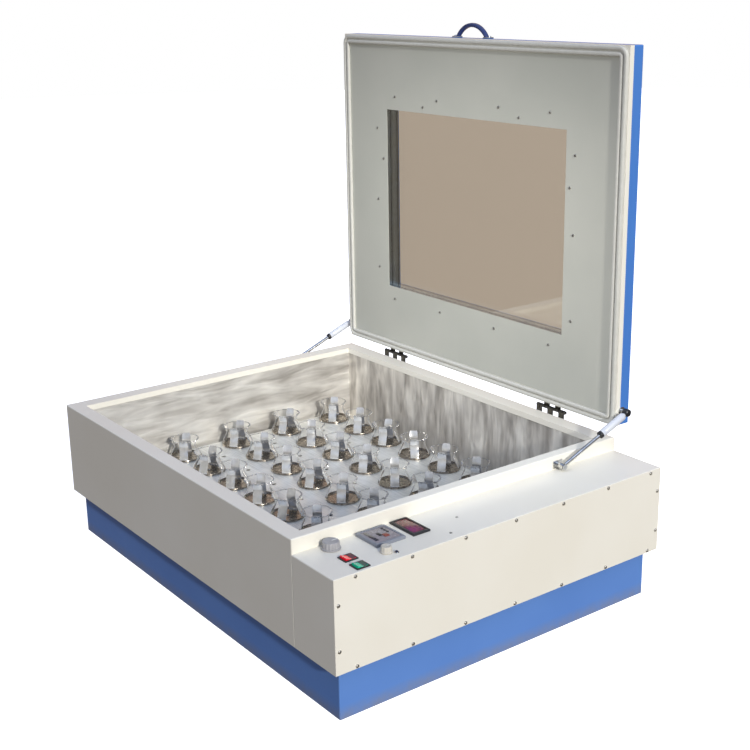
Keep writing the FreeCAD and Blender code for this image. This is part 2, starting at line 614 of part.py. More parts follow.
GUIDE_ENDS = (FRONT + 78.0, FRONT + 800.0)
save("guide_rods", *[bar(ROD_R, (x, GUIDE_ENDS[0], ROD_Z), (x, GUIDE_ENDS[1], ROD_Z)) for x in ROD_XS])
save("rod_supports", *[rod_support(x, y) for x in ROD_XS for y in (GUIDE_ENDS[0] + 8, GUIDE_ENDS[1] - 8)])
save("slide_bushes", *[slide_bush(x, y) for x in ROD_XS for y in BEARER_YS])
save("platform_tray", platform_tray())
save("platform_bearers", *platform_bearers())

# ---- spring clamps for the flasks ----
DISH_T = 1.5
DISH_RIM = 5.0
FINGER_T = 0.9
FOOT_R, TIP_R = 39.4, 31.5       # a finger's distance from the clamp's axis at its foot and its neck
FINGER_H = 52.0
FLARE_R, FLARE_H = 35.0, 58.5
COIL_R, COIL_RING_R, COIL_H = 1.6, 35.3, 52.0
CLAMPS = [(CLAMP_X + PITCH_X * i, CLAMP_Y + PITCH_Y * j, 45 + 9 * math.sin(2.4 * i + 1.7 * j))
          for i in range(COLUMNS) for j in range(ROWS)]


def clamp_dish():
    profile = [(2.2, 0), (DISH_R, 0), (DISH_R, DISH_RIM), (DISH_R - 1.2, DISH_RIM), (DISH_R - 1.2, DISH_T),
               (2.2, DISH_T)]
    return turned(profile, 0, 0)


def clamp_finger(angle):
    """A flat spring strip that leans inwards, with a short flared tip."""
    inner = [(FOOT_R - FINGER_T, DISH_T), (TIP_R - FINGER_T, FINGER_H), (FLARE_R - FINGER_T, FLARE_H)]
    outer = [(r + FINGER_T, z) for r, z in inner]
    outline = inner + outer[::-1]
    strip = prism([(r, -FINGER_W / 2, z) for r, z in outline], (0, FINGER_W, 0))
    strip.rotate(V(0, 0, 0), V(0, 0, 1), angle)
    return strip


def clamp_screw():
    head = bar(4.5, (0, 0, DISH_T), (0, 0, DISH_T + 2.5))
    return head.makeFillet(1.4, [head.Edges[0]]).fuse(bar(2, (0, 0, 0), (0, 0, DISH_T)))


def at_each_clamp(piece):
    copies = []
    for x, y, turn in CLAMPS:
        copy = piece.copy()
        copy.rotate(V(0, 0, 0), V(0, 0, 1), turn)
        copy.translate(V(x, y, TRAY_Z))
        copies.append(copy)
    return copies


fingers = []
for quarter in range(4):
    fingers += at_each_clamp(clamp_finger(90 * quarter))
save("clamp_dishes", *at_each_clamp(clamp_dish()))
save("clamp_fingers", *fingers)
save("clamp_springs", *at_each_clamp(Part.makeTorus(COIL_RING_R, COIL_R, V(0, 0, COIL_H))))
save("clamp_screws", *at_each_clamp(clamp_screw()))

# ---- lid ----
SHELL_Y = LID_Y + FRAME_T
OUT_Y = SHELL_Y + SHELL_T
SEAL_IN = 2.0                    # seal's outer edge inside the lid's edge
PANEL_IN = SEAL_IN + SEAL_W + 1
PANEL_Z1 = LID_Z1 + SEAL_IN + SEAL_W + 1


def window(y1, y2, grow=0.0):
    return box(WIN_X1 - grow, WIN_X2 + grow, y1, y2, WIN_Z1 - grow, WIN_Z2 + grow)


def lid_frame():
    frame = box(LEFT, WALL, LID_Y, SHELL_Y, LID_Z1, LID_Z2)
    hollow = box(LEFT + SHEET, WALL - SHEET, LID_Y + SHEET, SHELL_Y, LID_Z1 + SHEET, LID_Z2 - SHEET)
    opening = box(LEFT + LID_LAP, WALL - LID_LAP, LID_Y - 5, SHELL_Y, LID_Z1 + LID_LAP, LID_Z2 - LID_LAP)
    return frame.cut(hollow).cut(opening)


def lid_shell():
    shell = box(LEFT, WALL, SHELL_Y, OUT_Y, LID_Z1, LID_Z2)
    outside = [e for e in shell.Edges if e.BoundBox.YMax > SHELL_Y + 1]
    shell = shell.makeFillet(EDGE_R, outside)
    hollow = box(LEFT + SHEET, WALL - SHEET, SHELL_Y, OUT_Y - SHEET, LID_Z1 + SHEET, LID_Z2 - SHEET)
    return shell.cut(hollow).cut(window(SHELL_Y, OUT_Y + 5))


def lid_insulation():
    foam = box(LEFT + SHEET, WALL - SHEET, LID_Y + SHEET, OUT_Y - SHEET, LID_Z1 + SHEET, LID_Z2 - SHEET)
    return foam.cut(window(LID_Y, OUT_Y, SHEET))


def window_reveal():
    return window(LID_Y, OUT_Y - SHEET, SHEET).cut(window(LID_Y - 5, OUT_Y))


def seal_ring(inset, width, y1, y2):
    outer = rounded_plate(LEFT + SEAL_IN + inset, WALL - SEAL_IN - inset, LID_Z1 + SEAL_IN + inset,
                          LID_Z2 - SEAL_IN - inset, 24 - inset, y1, y2)
    inset += width
    return outer.cut(rounded_plate(LEFT + SEAL_IN + inset, WALL - SEAL_IN - inset, LID_Z1 + SEAL_IN + inset,
                                   LID_Z2 - SEAL_IN - inset, max(24 - inset, 2), y1, y2))


def lid_seal():
    return seal_ring(0, SEAL_W, SEAL_Y, LID_Y).cut(seal_ring(9, 4, SEAL_Y, SEAL_Y + 3))


LINING_SCREWS = [(x, 1075.0) for x in (225.0, 400.0, 635.0, 813.0)]
LINING_SCREWS += [(x, 519.0) for x in (215.0, 412.0, 627.0, 824.0)]
LINING_SCREWS += [(146.0, z) for z in (600.0, 792.0, 987.0)]
LINING_SCREWS += [(897.0, z) for z in (593.0, 799.0, 984.0)]
LINING_SCREWS += [(343.0, 1055.0), (707.0, 1055.0), (172.0, 906.0), (882.0, 908.0)]


def lid_lining():
    panel = box(LEFT + PANEL_IN, WALL - PANEL_IN, LID_Y - LINER, LID_Y, PANEL_Z1, LID_Z2 - PANEL_IN)
    panel = panel.cut(window(LID_Y - 5, LID_Y + 5))
    for x, z in LINING_SCREWS:
        panel = panel.cut(bar(1.6, (LEFT + x, LID_Y - 5, z), (LEFT + x, LID_Y + 5, z)))
    return panel


def lining_screw(x, z):
    face = LID_Y - LINER
    head = bar(3.6, (LEFT + x, face, z), (LEFT + x, face - 1.6, z))
    return head.makeFillet(1.0, [head.Edges[0]]).fuse(bar(1.5, (LEFT + x, face, z), (LEFT + x, LID_Y, z)))


HANDLE_X = LEFT + 506.0
HANDLE_H = 37.0


def lid_handle():
    """An arched grip on the lid's front edge, on two feet."""
    y1, y2 = SHELL_Y + 6, SHELL_Y + 22

    def arch(half, height):
        left, right = V(HANDLE_X - half, y1, LID_Z2), V(HANDLE_X + half, y1, LID_Z2)
        bow = Part.Arc(left, V(HANDLE_X, y1, LID_Z2 + height), right).toShape()
        return Part.Face(Part.Wire([bow, Part.makeLine(right, left)])).extrude(V(0, y2 - y1, 0))

    grip = arch(62, HANDLE_H).cut(arch(48, HANDLE_H - 11))
    grip = grip.makeFillet(2.5, [e for e in grip.Edges if e.Length > 100])
    feet = [box(HANDLE_X + x, HANDLE_X + x + 24, y1, y2, LID_Z2, LID_Z2 + 4) for x in (-70, 46)]
    return grip.fuse(feet)


def pane(depth):
    return window(LID_Y + depth, LID_Y + depth + PANE)


save("lid_shell", lid_shell())
save("lid_frame", lid_frame())
save("lid_insulation", lid_insulation())
save("lid_lining", lid_lining())
save("lid_seal", lid_seal())
save("window_reveal", window_reveal())
save("inner_pane", pane(9.0))
save("outer_pane", pane(33.0))
save("lining_screws", *[lining_screw(x, z) for x, z in LINING_SCREWS])
save("lid_handle", lid_handle())

# ---- lid hinges ----
KNUCKLES = 5
KNUCKLE_W = 19.0
LEAF_T = 2.0
LEAF_REACH = 36.0                # how far the lid's leaf runs under the lid
HINGE_W = KNUCKLES * KNUCKLE_W


def knuckle(x1, x2):
    return tube(KNUCKLE_R, PIN_R + RUN, (x1, HINGE_Y, HINGE_Z), (x2, HINGE_Y, HINGE_Z))


def case_leaf(x):
    """The leaf on the casing's back wall, with its outer and middle knuckles."""
    x1 = x - HINGE_W / 2
    leaf = box(x1, x1 + HINGE_W, BACK, BACK + LEAF_T, RIM_Z - 40, RIM_Z - EDGE_R)
    for i in (0, 2, 4):
        a, b = x1 + KNUCKLE_W * i + GAP, x1 + KNUCKLE_W * (i + 1) - GAP
        web = box(a, b, BACK, BACK + LEAF_T, RIM_Z - EDGE_R, HINGE_Z)
        leaf = leaf.fuse([web, knuckle(a, b)])
    return leaf


def lid_leaf(x):
    """The leaf under the lid's lower edge, with the knuckles between."""
    x1 = x - HINGE_W / 2
    y1 = HINGE_Y + KNUCKLE_R - LEAF_T
    leaf = box(x1, x1 + HINGE_W, y1, HINGE_Y + LEAF_REACH, LID_Z1 - LEAF_T, LID_Z1)
    for i in (1, 3):
        a, b = x1 + KNUCKLE_W * i + GAP, x1 + KNUCKLE_W * (i + 1) - GAP
        web = box(a, b, y1, y1 + LEAF_T, HINGE_Z, LID_Z1)
        leaf = leaf.fuse([web, knuckle(a, b)])
    return leaf


def hinge_pin(x):
    half = HINGE_W / 2
    pin = bar(PIN_R, (x - half, HINGE_Y, HINGE_Z), (x + half, HINGE_Y, HINGE_Z))
    heads = [bar(KNUCKLE_R - 1, (x + s * half, HINGE_Y, HINGE_Z), (x + s * (half + 2), HINGE_Y, HINGE_Z))
             for s in (-1, 1)]
    return pin.fuse(heads)


save("case_hinge_leaves", *[case_leaf(x) for x in HINGE_XS])
save("lid_hinge_leaves", *[lid_leaf(x) for x in HINGE_XS])
save("hinge_pins", *[hinge_pin(x) for x in HINGE_XS])

# ---- gas struts ----
FOOT_Y, FOOT_Z = STRUT_FOOT
HEAD_Y, HEAD_Z = STRUT_HEAD
STRUT_LENGTH = math.hypot(HEAD_Y - FOOT_Y, HEAD_Z - FOOT_Z)
STRUT_X = WALL + STRUT_OUT
EYE_R, EYE_W = 7.5, 10.0
SOCKET_R = 9.0
CYLINDER_START = 124.0
CYLINDER_END = STRUT_LENGTH - SOCKET_R - 1
ROD_TIP = 128.0


def along(distance):
    """A point on the strut's centre line, a distance from its foot."""
    share = distance / STRUT_LENGTH
    return (STRUT_X, FOOT_Y + (HEAD_Y - FOOT_Y) * share, FOOT_Z + (HEAD_Z - FOOT_Z) * share)


def strut_bracket():
    plate = box(WALL, WALL + 2.5, FOOT_Y - 14, FOOT_Y + 14, FOOT_Z - 8, FOOT_Z + 10)
    pin = bar(4, (WALL + 2, FOOT_Y, FOOT_Z), (STRUT_X + EYE_W / 2 + 3, FOOT_Y, FOOT_Z))
    head = bar(6.5, (STRUT_X + EYE_W / 2 + 0.5, FOOT_Y, FOOT_Z), (STRUT_X + EYE_W / 2 + 3, FOOT_Y, FOOT_Z))
    collar = bar(6.5, (WALL + 2, FOOT_Y, FOOT_Z), (STRUT_X - EYE_W / 2 - 0.5, FOOT_Y, FOOT_Z))
    return plate.fuse([pin, head, collar])


def strut_rod():
    eye_x = (STRUT_X - EYE_W / 2, STRUT_X + EYE_W / 2)
    eye = bar(EYE_R, (eye_x[0], FOOT_Y, FOOT_Z), (eye_x[1], FOOT_Y, FOOT_Z))
    rod = bar(STRUT_ROD_R, along(4), along(ROD_TIP))
    return eye.fuse(rod).cut(bar(4 + RUN, (WALL, FOOT_Y, FOOT_Z), (STRUT_X + 20, FOOT_Y, FOOT_Z)))


def strut_cylinder():
    barrel = bar(STRUT_R, along(CYLINDER_START), along(CYLINDER_END))
    barrel = barrel.cut(bar(STRUT_ROD_R + RUN, along(CYLINDER_START - 1), along(CYLINDER_END - 2.5)))
    neck = bar(5, along(CYLINDER_END - 1), along(STRUT_LENGTH))
    socket = bar(SOCKET_R, (WALL + 9, HEAD_Y, HEAD_Z), (STRUT_X + 7, HEAD_Y, HEAD_Z))
    return barrel.fuse([neck, socket])


def strut_stud():
    """The lid's stud, which stops just short of the strut's socket."""
    plate = bar(10, (WALL, HEAD_Y, HEAD_Z), (WALL + 2.5, HEAD_Y, HEAD_Z))
    return plate.fuse(bar(5, (WALL + 2, HEAD_Y, HEAD_Z), (WALL + 8.2, HEAD_Y, HEAD_Z)))


left_rod, right_rod = both_sides(strut_rod)
left_cylinder, right_cylinder = both_sides(strut_cylinder)
save("strut_brackets", *both_sides(strut_bracket))
save("strut_studs", *both_sides(strut_stud))
save("left_strut_rod", left_rod)
save("right_strut_rod", right_rod)
save("left_strut_cylinder", left_cylinder)
save("right_strut_cylinder", right_cylinder)
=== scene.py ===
import bmesh
import bpy
import math
from mathutils import Matrix, Vector


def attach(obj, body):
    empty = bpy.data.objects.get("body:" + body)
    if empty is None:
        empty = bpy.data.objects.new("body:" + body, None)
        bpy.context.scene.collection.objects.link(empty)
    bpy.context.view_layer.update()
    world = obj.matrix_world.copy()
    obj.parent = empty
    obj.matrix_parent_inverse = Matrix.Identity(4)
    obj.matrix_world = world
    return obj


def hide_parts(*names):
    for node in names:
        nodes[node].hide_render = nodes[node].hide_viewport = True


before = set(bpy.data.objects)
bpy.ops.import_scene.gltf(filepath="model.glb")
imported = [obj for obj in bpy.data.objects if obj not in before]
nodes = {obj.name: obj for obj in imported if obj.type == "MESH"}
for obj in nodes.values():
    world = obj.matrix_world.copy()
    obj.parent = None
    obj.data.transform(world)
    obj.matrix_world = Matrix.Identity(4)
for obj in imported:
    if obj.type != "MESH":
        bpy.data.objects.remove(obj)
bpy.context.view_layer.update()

scene = bpy.context.scene
scene.view_settings.view_transform = "Standard"

# ---- camera ----
# A longish lens stands right of and in front of the bath, a little above the open lid's top.
eye = Vector((2.3611, -1.6511, 1.3763))
yaw, pitch, roll = 0.9275, 0.2878, -0.0153
ahead = Vector((-math.sin(yaw) * math.cos(pitch), math.cos(yaw) * math.cos(pitch), -math.sin(pitch)))
level = Vector((math.cos(yaw), math.sin(yaw), 0.0))
upright = level.cross(ahead)
across = level * math.cos(roll) + upright * math.sin(roll)
up = upright * math.cos(roll) - level * math.sin(roll)
lens = bpy.data.cameras.new("camera")
lens.sensor_width, lens.lens = 36.0, 61.05
lens.shift_x, lens.shift_y = -0.0108, -0.0259
camera = bpy.data.objects.new("camera", lens)
camera.matrix_world = Matrix.Translation(eye) @ Matrix((across, up, -ahead)).transposed().to_4x4()
scene.collection.objects.link(camera)
scene.camera = camera


# ---- studio ----
# A plain white floor and three lamps: a warm key low on the right, a cool soft box overhead and a
# small panel that bounces light on the lid. The walls are bluish above and darker and warmer towards
# the ground, which is what bright metal and glass show.
def linear(code):
    """A colour written as sRGB hex, as the linear RGBA that nodes take."""
    parts = [int(code[i:i + 2], 16) / 255 for i in (1, 3, 5)]
    return [p / 12.92 if p <= 0.04045 else ((p + 0.055) / 1.055) ** 2.4 for p in parts] + [1.0]


def node(tree, kind, inputs=(), **settings):
    """Adds one node to a tree. Inputs are values, or other nodes' outputs to link."""
    made = tree.nodes.new(kind)
    for key, value in settings.items():
        setattr(made, key, value)
    for key, value in dict(inputs).items():
        if isinstance(value, bpy.types.NodeSocket):
            tree.links.new(value, made.inputs[key])
        else:
            made.inputs[key].default_value = value
    return made


world = bpy.data.worlds.new("studio_walls")
world.use_nodes = True
tree = world.node_tree
tree.nodes.clear()
aim = node(tree, "ShaderNodeTexCoord").outputs["Generated"]
height = node(tree, "ShaderNodeSeparateXYZ", {0: aim}).outputs["Z"]
ground, wall, low_sky, zenith, behind = (
    linear(c) for c in ("#5A5049", "#6F655D", "#9FA3A9", "#9FB4DE", "#C8AFA1"))
tone = ground
for low, high, colour in ((-0.45, -0.22, wall), (0.02, 0.22, low_sky), (0.3, 0.8, zenith)):
    share = node(tree, "ShaderNodeMapRange", {"Value": height, "From Min": low, "From Max": high})
    tone = node(tree, "ShaderNodeMix", {0: share.outputs[0], 6: tone, 7: colour},
                data_type="RGBA").outputs[2]
rear = node(tree, "ShaderNodeVectorMath", {0: aim, 1: (-0.8, 0.6, 0.0)}, operation="DOT_PRODUCT")
share = node(tree, "ShaderNodeMapRange",
             {"Value": rear.outputs["Value"], "From Min": 0.55, "From Max": 0.85})
tone = node(tree, "ShaderNodeMix", {0: share.outputs[0], 6: tone, 7: behind},
            data_type="RGBA").outputs[2]
walls = node(tree, "ShaderNodeBackground", {"Color": tone, "Strength": 1.0})
backdrop = node(tree, "ShaderNodeBackground", {"Color": (1, 1, 1, 1), "Strength": 1.0})
seen = node(tree, "ShaderNodeLightPath").outputs["Is Camera Ray"]
both = node(tree, "ShaderNodeMixShader", {0: seen, 1: walls.outputs[0], 2: backdrop.outputs[0]})
node(tree, "ShaderNodeOutputWorld", {"Surface": both.outputs[0]})
scene.world = world

to_lamp = Vector((0.90, -0.19, 0.35)).normalized()
lamp = bpy.data.lights.new("key_lamp", "SUN")
lamp.energy, lamp.angle, lamp.color = 2.85, math.radians(4), (1.0, 0.985, 0.95)
key = bpy.data.objects.new("key_lamp", lamp)
key.rotation_euler = to_lamp.to_track_quat("Z", "Y").to_euler()
scene.collection.objects.link(key)

lamp = bpy.data.lights.new("soft_box", "AREA")
lamp.shape, lamp.size, lamp.size_y, lamp.energy = "RECTANGLE", 2.4, 1.6, 10
lamp.color = (0.93, 0.96, 1.0)
box_at = Vector((2.2, 0.6, 3.2))
fill = bpy.data.objects.new("soft_box", lamp)
fill.location = box_at
fill.rotation_euler = (box_at - Vector((0, 0, 0.3))).to_track_quat("Z", "Y").to_euler()
scene.collection.objects.link(fill)

lamp = bpy.data.lights.new("bounce_panel", "AREA")
lamp.shape, lamp.size, lamp.size_y, lamp.energy = "RECTANGLE", 1.1, 0.3, 3.2
lamp.spread = math.radians(110)
bounce = bpy.data.objects.new("bounce_panel", lamp)
bounce.location = (0.0, -0.38, 1.08)
bounce.rotation_euler = Vector((0.05, -0.85, 0.5)).to_track_quat("Z", "Y").to_euler()
bounce.visible_camera = bounce.visible_glossy = False
scene.collection.objects.link(bounce)

white = bpy.data.materials.new("white_studio_floor")
white.use_nodes = True
shader = white.node_tree.nodes["Principled BSDF"]
shader.inputs["Base Color"].default_value = linear("#F2F2F2")
shader.inputs["Roughness"].default_value = 0.9
shader.inputs["Emission Color"].default_value = (1, 1, 1, 1)
shader.inputs["Emission Strength"].default_value = 0.9
bm = bmesh.new()
FLOOR_RADIUS, FLOOR_DROP = 14.0, 0.0006         # the floor lies a hair under the plinth's edge
bmesh.ops.create_circle(bm, cap_ends=True, segments=96, radius=FLOOR_RADIUS,
                        matrix=Matrix.Translation((0, 0, -FLOOR_DROP)))
mesh = bpy.data.meshes.new("studio_floor")
bm.to_mesh(mesh)
mesh.materials.append(white)
floor = bpy.data.objects.new("studio_floor", mesh)
scene.collection.objects.link(floor)
floor.visible_diffuse = floor.visible_glossy = floor.visible_transmission = False


# ---- plinth ----
# A skirt folded from 1.5 mm steel, stoved in blue enamel, with air slots at its back. It stands on
# the floor, so its lowest centimetres are dusty and its enamel is rubbed there.
def patterned(name):
    """A new material with its tree, its shader and the place in metres that its patterns read."""
    material = bpy.data.materials.new(name)
    material.use_nodes = True
    tree = material.node_tree
    place = node(tree, "ShaderNodeTexCoord").outputs["Object"]
    return material, tree, tree.nodes["Principled BSDF"], place


def enamel(name, colour, faded, dust=0.0):
    """Stoved enamel on sheet steel: a hard even coat with a faint orange peel and slow fading.
    Dust is the height in metres that floor dirt reaches."""
    paint, tree, shader, place = patterned(name)
    clouds = node(tree, "ShaderNodeTexNoise", {"Vector": place, "Scale": 1 / 0.30, "Detail": 3.0})
    share = node(tree, "ShaderNodeMapRange",
                 {"Value": clouds.outputs[0], "From Min": 0.35, "From Max": 0.65})
    tone = node(tree, "ShaderNodeMix", {0: share.outputs[0], 6: linear(colour), 7: linear(faded)},
                data_type="RGBA").outputs[2]
    smears = node(tree, "ShaderNodeTexNoise", {"Vector": place, "Scale": 1 / 0.025, "Detail": 4.0})
    gloss = node(tree, "ShaderNodeMapRange",
                 {"Value": smears.outputs[0], "To Min": 0.30, "To Max": 0.46})
    if dust:
        rise = node(tree, "ShaderNodeSeparateXYZ", {0: place}).outputs["Z"]
        rise = node(tree, "ShaderNodeMapRange",
                    {"Value": rise, "From Min": 0.0, "From Max": dust, "To Min": 0.9, "To Max": 0.0})
        dirt = node(tree, "ShaderNodeMath", {0: rise.outputs[0], 1: smears.outputs[0]},
                    operation="MULTIPLY").outputs[0]
        tone = node(tree, "ShaderNodeMix", {0: dirt, 6: tone, 7: linear("#8C8577")},
                    data_type="RGBA").outputs[2]
    peel = node(tree, "ShaderNodeTexNoise", {"Vector": place, "Scale": 1 / 0.003, "Detail": 1.0})
    bump = node(tree, "ShaderNodeBump",
                {"Height": peel.outputs[0], "Strength": 0.12, "Distance": 0.0003})
    tree.links.new(tone, shader.inputs["Base Color"])
    tree.links.new(gloss.outputs[0], shader.inputs["Roughness"])
    tree.links.new(bump.outputs[0], shader.inputs["Normal"])
    shader.inputs["Coat Weight"].default_value = 0.25
    shader.inputs["Coat Roughness"].default_value = 0.18
    return paint


def finish(material, *names):
    """Gives CAD nodes their finish."""
    for name in names:
        for slot in nodes[name].material_slots:
            slot.material = material


# Deep cornflower enamel, a little chalky where it has faded.
plinth_blue = enamel("blue_stoved_enamel", "#5A84C8", "#608ACD", dust=0.03)
finish(plinth_blue, "plinth")


# ---- chassis frame ----
# Mill-finish square steel tube welded into a ladder, and a folded tray that hangs the motor.
# Its skin is blue-grey mill scale, rubbed bright in streaks.
def bare_metal(name, colour, dark, smooth, rough, lay, blotch=0.05, dents=0.0, metallic=1.0):
    """Unpainted metal. Lay is the size in metres of its brush marks along x, y and z, blotch the
    size of its duller patches, and dents how far a thin sheet's waves turn its reflections. A matt
    or hazed skin has a lower metallic value."""
    metal, tree, shader, place = patterned(name)
    drawn = node(tree, "ShaderNodeVectorMath", {0: place, 1: [1 / size for size in lay]},
                 operation="MULTIPLY").outputs[0]
    lines = node(tree, "ShaderNodeTexNoise", {"Vector": drawn, "Scale": 1.0, "Detail": 3.0})
    patches = node(tree, "ShaderNodeTexNoise", {"Vector": place, "Scale": 1 / blotch, "Detail": 4.0})
    mixed = node(tree, "ShaderNodeMath", {0: lines.outputs[0], 1: patches.outputs[0]},
                 operation="MULTIPLY").outputs[0]
    dull = node(tree, "ShaderNodeMapRange", {"Value": mixed, "From Min": 0.12, "From Max": 0.42,
                                             "To Min": smooth, "To Max": rough})
    shade = node(tree, "ShaderNodeMapRange", {"Value": mixed, "From Min": 0.12, "From Max": 0.42})
    tone = node(tree, "ShaderNodeMix", {0: shade.outputs[0], 6: linear(colour), 7: linear(dark)},
                data_type="RGBA").outputs[2]
    waves = node(tree, "ShaderNodeTexNoise", {"Vector": place, "Scale": 1 / 0.07, "Detail": 1.0})
    swell = node(tree, "ShaderNodeBump",
                 {"Height": waves.outputs[0], "Strength": 1.0, "Distance": dents})
    scratches = node(tree, "ShaderNodeBump", {"Height": lines.outputs[0], "Strength": 0.25,
                                              "Distance": 0.0002, "Normal": swell.outputs[0]})
    tree.links.new(tone, shader.inputs["Base Color"])
    tree.links.new(dull.outputs[0], shader.inputs["Roughness"])
    tree.links.new(scratches.outputs[0], shader.inputs["Normal"])
    shader.inputs["Metallic"].default_value = metallic
    return metal


mill_steel = bare_metal("hot_rolled_mill_steel", "#8B8D90", "#4F5154", 0.35, 0.6, (0.08, 0.08, 0.08))
finish(mill_steel, "chassis_frame")

# ---- tank casing and its insulation ----
# The casing is one folded 1.5 mm steel shell with a lipped rim, stoved in cream enamel. Behind it
# sprayed polyurethane foam keeps the water warm.
# Warm white and even, with a soft gloss.
cream = enamel("cream_stoved_enamel", "#EAE6DA", "#E6E1D3")
finish(cream, "tank_case")


def foamed(name, colour, cell):
    """Sprayed foam: a matt skin over cells of the given size, yellowed unevenly."""
    foam, tree, shader, place = patterned(name)
    cells = node(tree, "ShaderNodeTexVoronoi", {"Vector": place, "Scale": 1 / cell})
    age = node(tree, "ShaderNodeTexNoise", {"Vector": place, "Scale": 1 / 0.12, "Detail": 2.0})
    tone = node(tree, "ShaderNodeMix", {0: age.outputs[0], 6: linear(colour), 7: linear("#B58F4E")},
                data_type="RGBA").outputs[2]
    bump = node(tree, "ShaderNodeBump",
                {"Height": cells.outputs[0], "Strength": 0.6, "Distance": 0.001})
    tree.links.new(tone, shader.inputs["Base Color"])
    tree.links.new(bump.outputs[0], shader.inputs["Normal"])
    shader.inputs["Roughness"].default_value = 0.95
    return foam


# Pale straw colour, browner where it is older, and quite without gloss.
foam = foamed("sprayed_polyurethane_foam", "#E3CF95", 0.003)
finish(foam, "tank_insulation", "lid_insulation")

# ---- tank ----
# Floor and walls of 1.2 mm stainless sheet, welded at the corners and rubbed bright: the left wall
# lengthwise, the others up and down. The thin walls ripple, and the light and dark streaks of their
# base colour are painted reflections, standing in for the sheen that the ripples break into streaks.
def rippled_steel(name, turn_at):
    """Rubbed thin sheet. Left of turn_at (metres) its streaks lie flat, elsewhere they stand.
    Its colour runs light and dark along the streaks: painted reflections.
    """
    metal, tree, shader, place = patterned(name)
    side = node(tree, "ShaderNodeSeparateXYZ", {0: place}).outputs["X"]
    side = node(tree, "ShaderNodeMapRange",
                {"Value": side, "From Min": turn_at, "From Max": turn_at + 0.0005})
    fields = []
    for lay in ((0.028, 0.3, 0.12), (0.3, 0.16, 0.032)):
        drawn = node(tree, "ShaderNodeVectorMath", {0: place, 1: [1 / size for size in lay]},
                     operation="MULTIPLY").outputs[0]
        streaks = node(tree, "ShaderNodeTexNoise", {"Vector": drawn, "Scale": 1.0, "Detail": 2.5,
                                                    "Roughness": 0.55, "Distortion": 0.35})
        fields.append(streaks.outputs[0])
    streaks = node(tree, "ShaderNodeMix", {0: side.outputs[0], 2: fields[1], 3: fields[0]}).outputs[0]
    patches = node(tree, "ShaderNodeTexNoise", {"Vector": place, "Scale": 1 / 0.09, "Detail": 2.0})
    mixed = node(tree, "ShaderNodeMath", {0: streaks, 1: 0.72}, operation="MULTIPLY").outputs[0]
    mixed = node(tree, "ShaderNodeMath", {0: patches.outputs[0], 1: 0.28, 2: mixed},
                 operation="MULTIPLY_ADD").outputs[0]
    # Light and dark streaks of base colour: painted reflections of the walls' broken sheen.
    painted_sheen = node(tree, "ShaderNodeMapRange", {"Value": mixed, "From Min": 0.34, "From Max": 0.66})
    tone = node(tree, "ShaderNodeMix", {0: painted_sheen.outputs[0], 6: linear("#A9A39B"), 7: linear("#FBF7EE")},
                data_type="RGBA").outputs[2]
    gloss = node(tree, "ShaderNodeMapRange", {"Value": painted_sheen.outputs[0], "To Min": 0.55, "To Max": 0.3})
    swell = node(tree, "ShaderNodeBump", {"Height": mixed, "Strength": 0.8, "Distance": 0.010})
    tree.links.new(tone, shader.inputs["Base Color"])
    tree.links.new(gloss.outputs[0], shader.inputs["Roughness"])
    tree.links.new(swell.outputs[0], shader.inputs["Normal"])
    shader.inputs["Metallic"].default_value = 0.55
    return metal


LEFT_WALL_FACE = -0.5538                        # x just inside the left wall's sheet
tank_steel = rippled_steel("rubbed_stainless_tank_sheet_painted_reflections", LEFT_WALL_FACE)
finish(tank_steel, "tank_liner")

# ---- control box and side cover ----
# Folded and stoved like the casing. The cover closes the box's open side and is screwed on all round.
finish(cream, "control_box", "side_cover")


# ---- cover screws ----
# Zinc-plated M4 pan heads with a cross recess, driven along the cover's four edges.
# Their plating has dulled to a warm grey.
def settle(name, mesh, body, smooth, stands_for):
    """Makes a piece of its mesh: faces turned outwards, shaded smooth up to an edge angle in
    degrees, and riding on its body in place of CAD nodes."""
    bm = bmesh.new()
    bm.from_mesh(mesh)
    bmesh.ops.recalc_face_normals(bm, faces=bm.faces)
    bm.to_mesh(mesh)
    bm.free()
    mesh.polygons.foreach_set("use_smooth", [True] * len(mesh.polygons))
    mesh.set_sharp_from_angle(angle=math.radians(smooth))
    made = bpy.data.objects.new(name, mesh)
    scene.collection.objects.link(made)
    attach(made, body)
    if stands_for:
        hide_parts(*stands_for)


def turned(bm, profile, steps, place, material=0):
    """Adds a shape turned about an axis, from (radius, height) in millimetres and its place."""
    rings = []
    for radius, rise in profile:
        count = steps if radius > 1e-6 else 1
        ring = []
        for i in range(count):
            a = 2 * math.pi * i / count
            ring.append(bm.verts.new(place @ Vector((radius * math.cos(a), radius * math.sin(a), rise))))
        rings.append(ring)
    for lower, upper in zip(rings, rings[1:]):
        for i in range(steps):
            a, b = lower[i % len(lower)], lower[(i + 1) % len(lower)]
            c, d = upper[(i + 1) % len(upper)], upper[i % len(upper)]
            corners = list(dict.fromkeys((a, b, c, d)))
            if len(corners) > 2:
                bm.faces.new(corners).material_index = material
    return rings


MM = Matrix.Scale(0.001, 4)                     # millimetres to metres


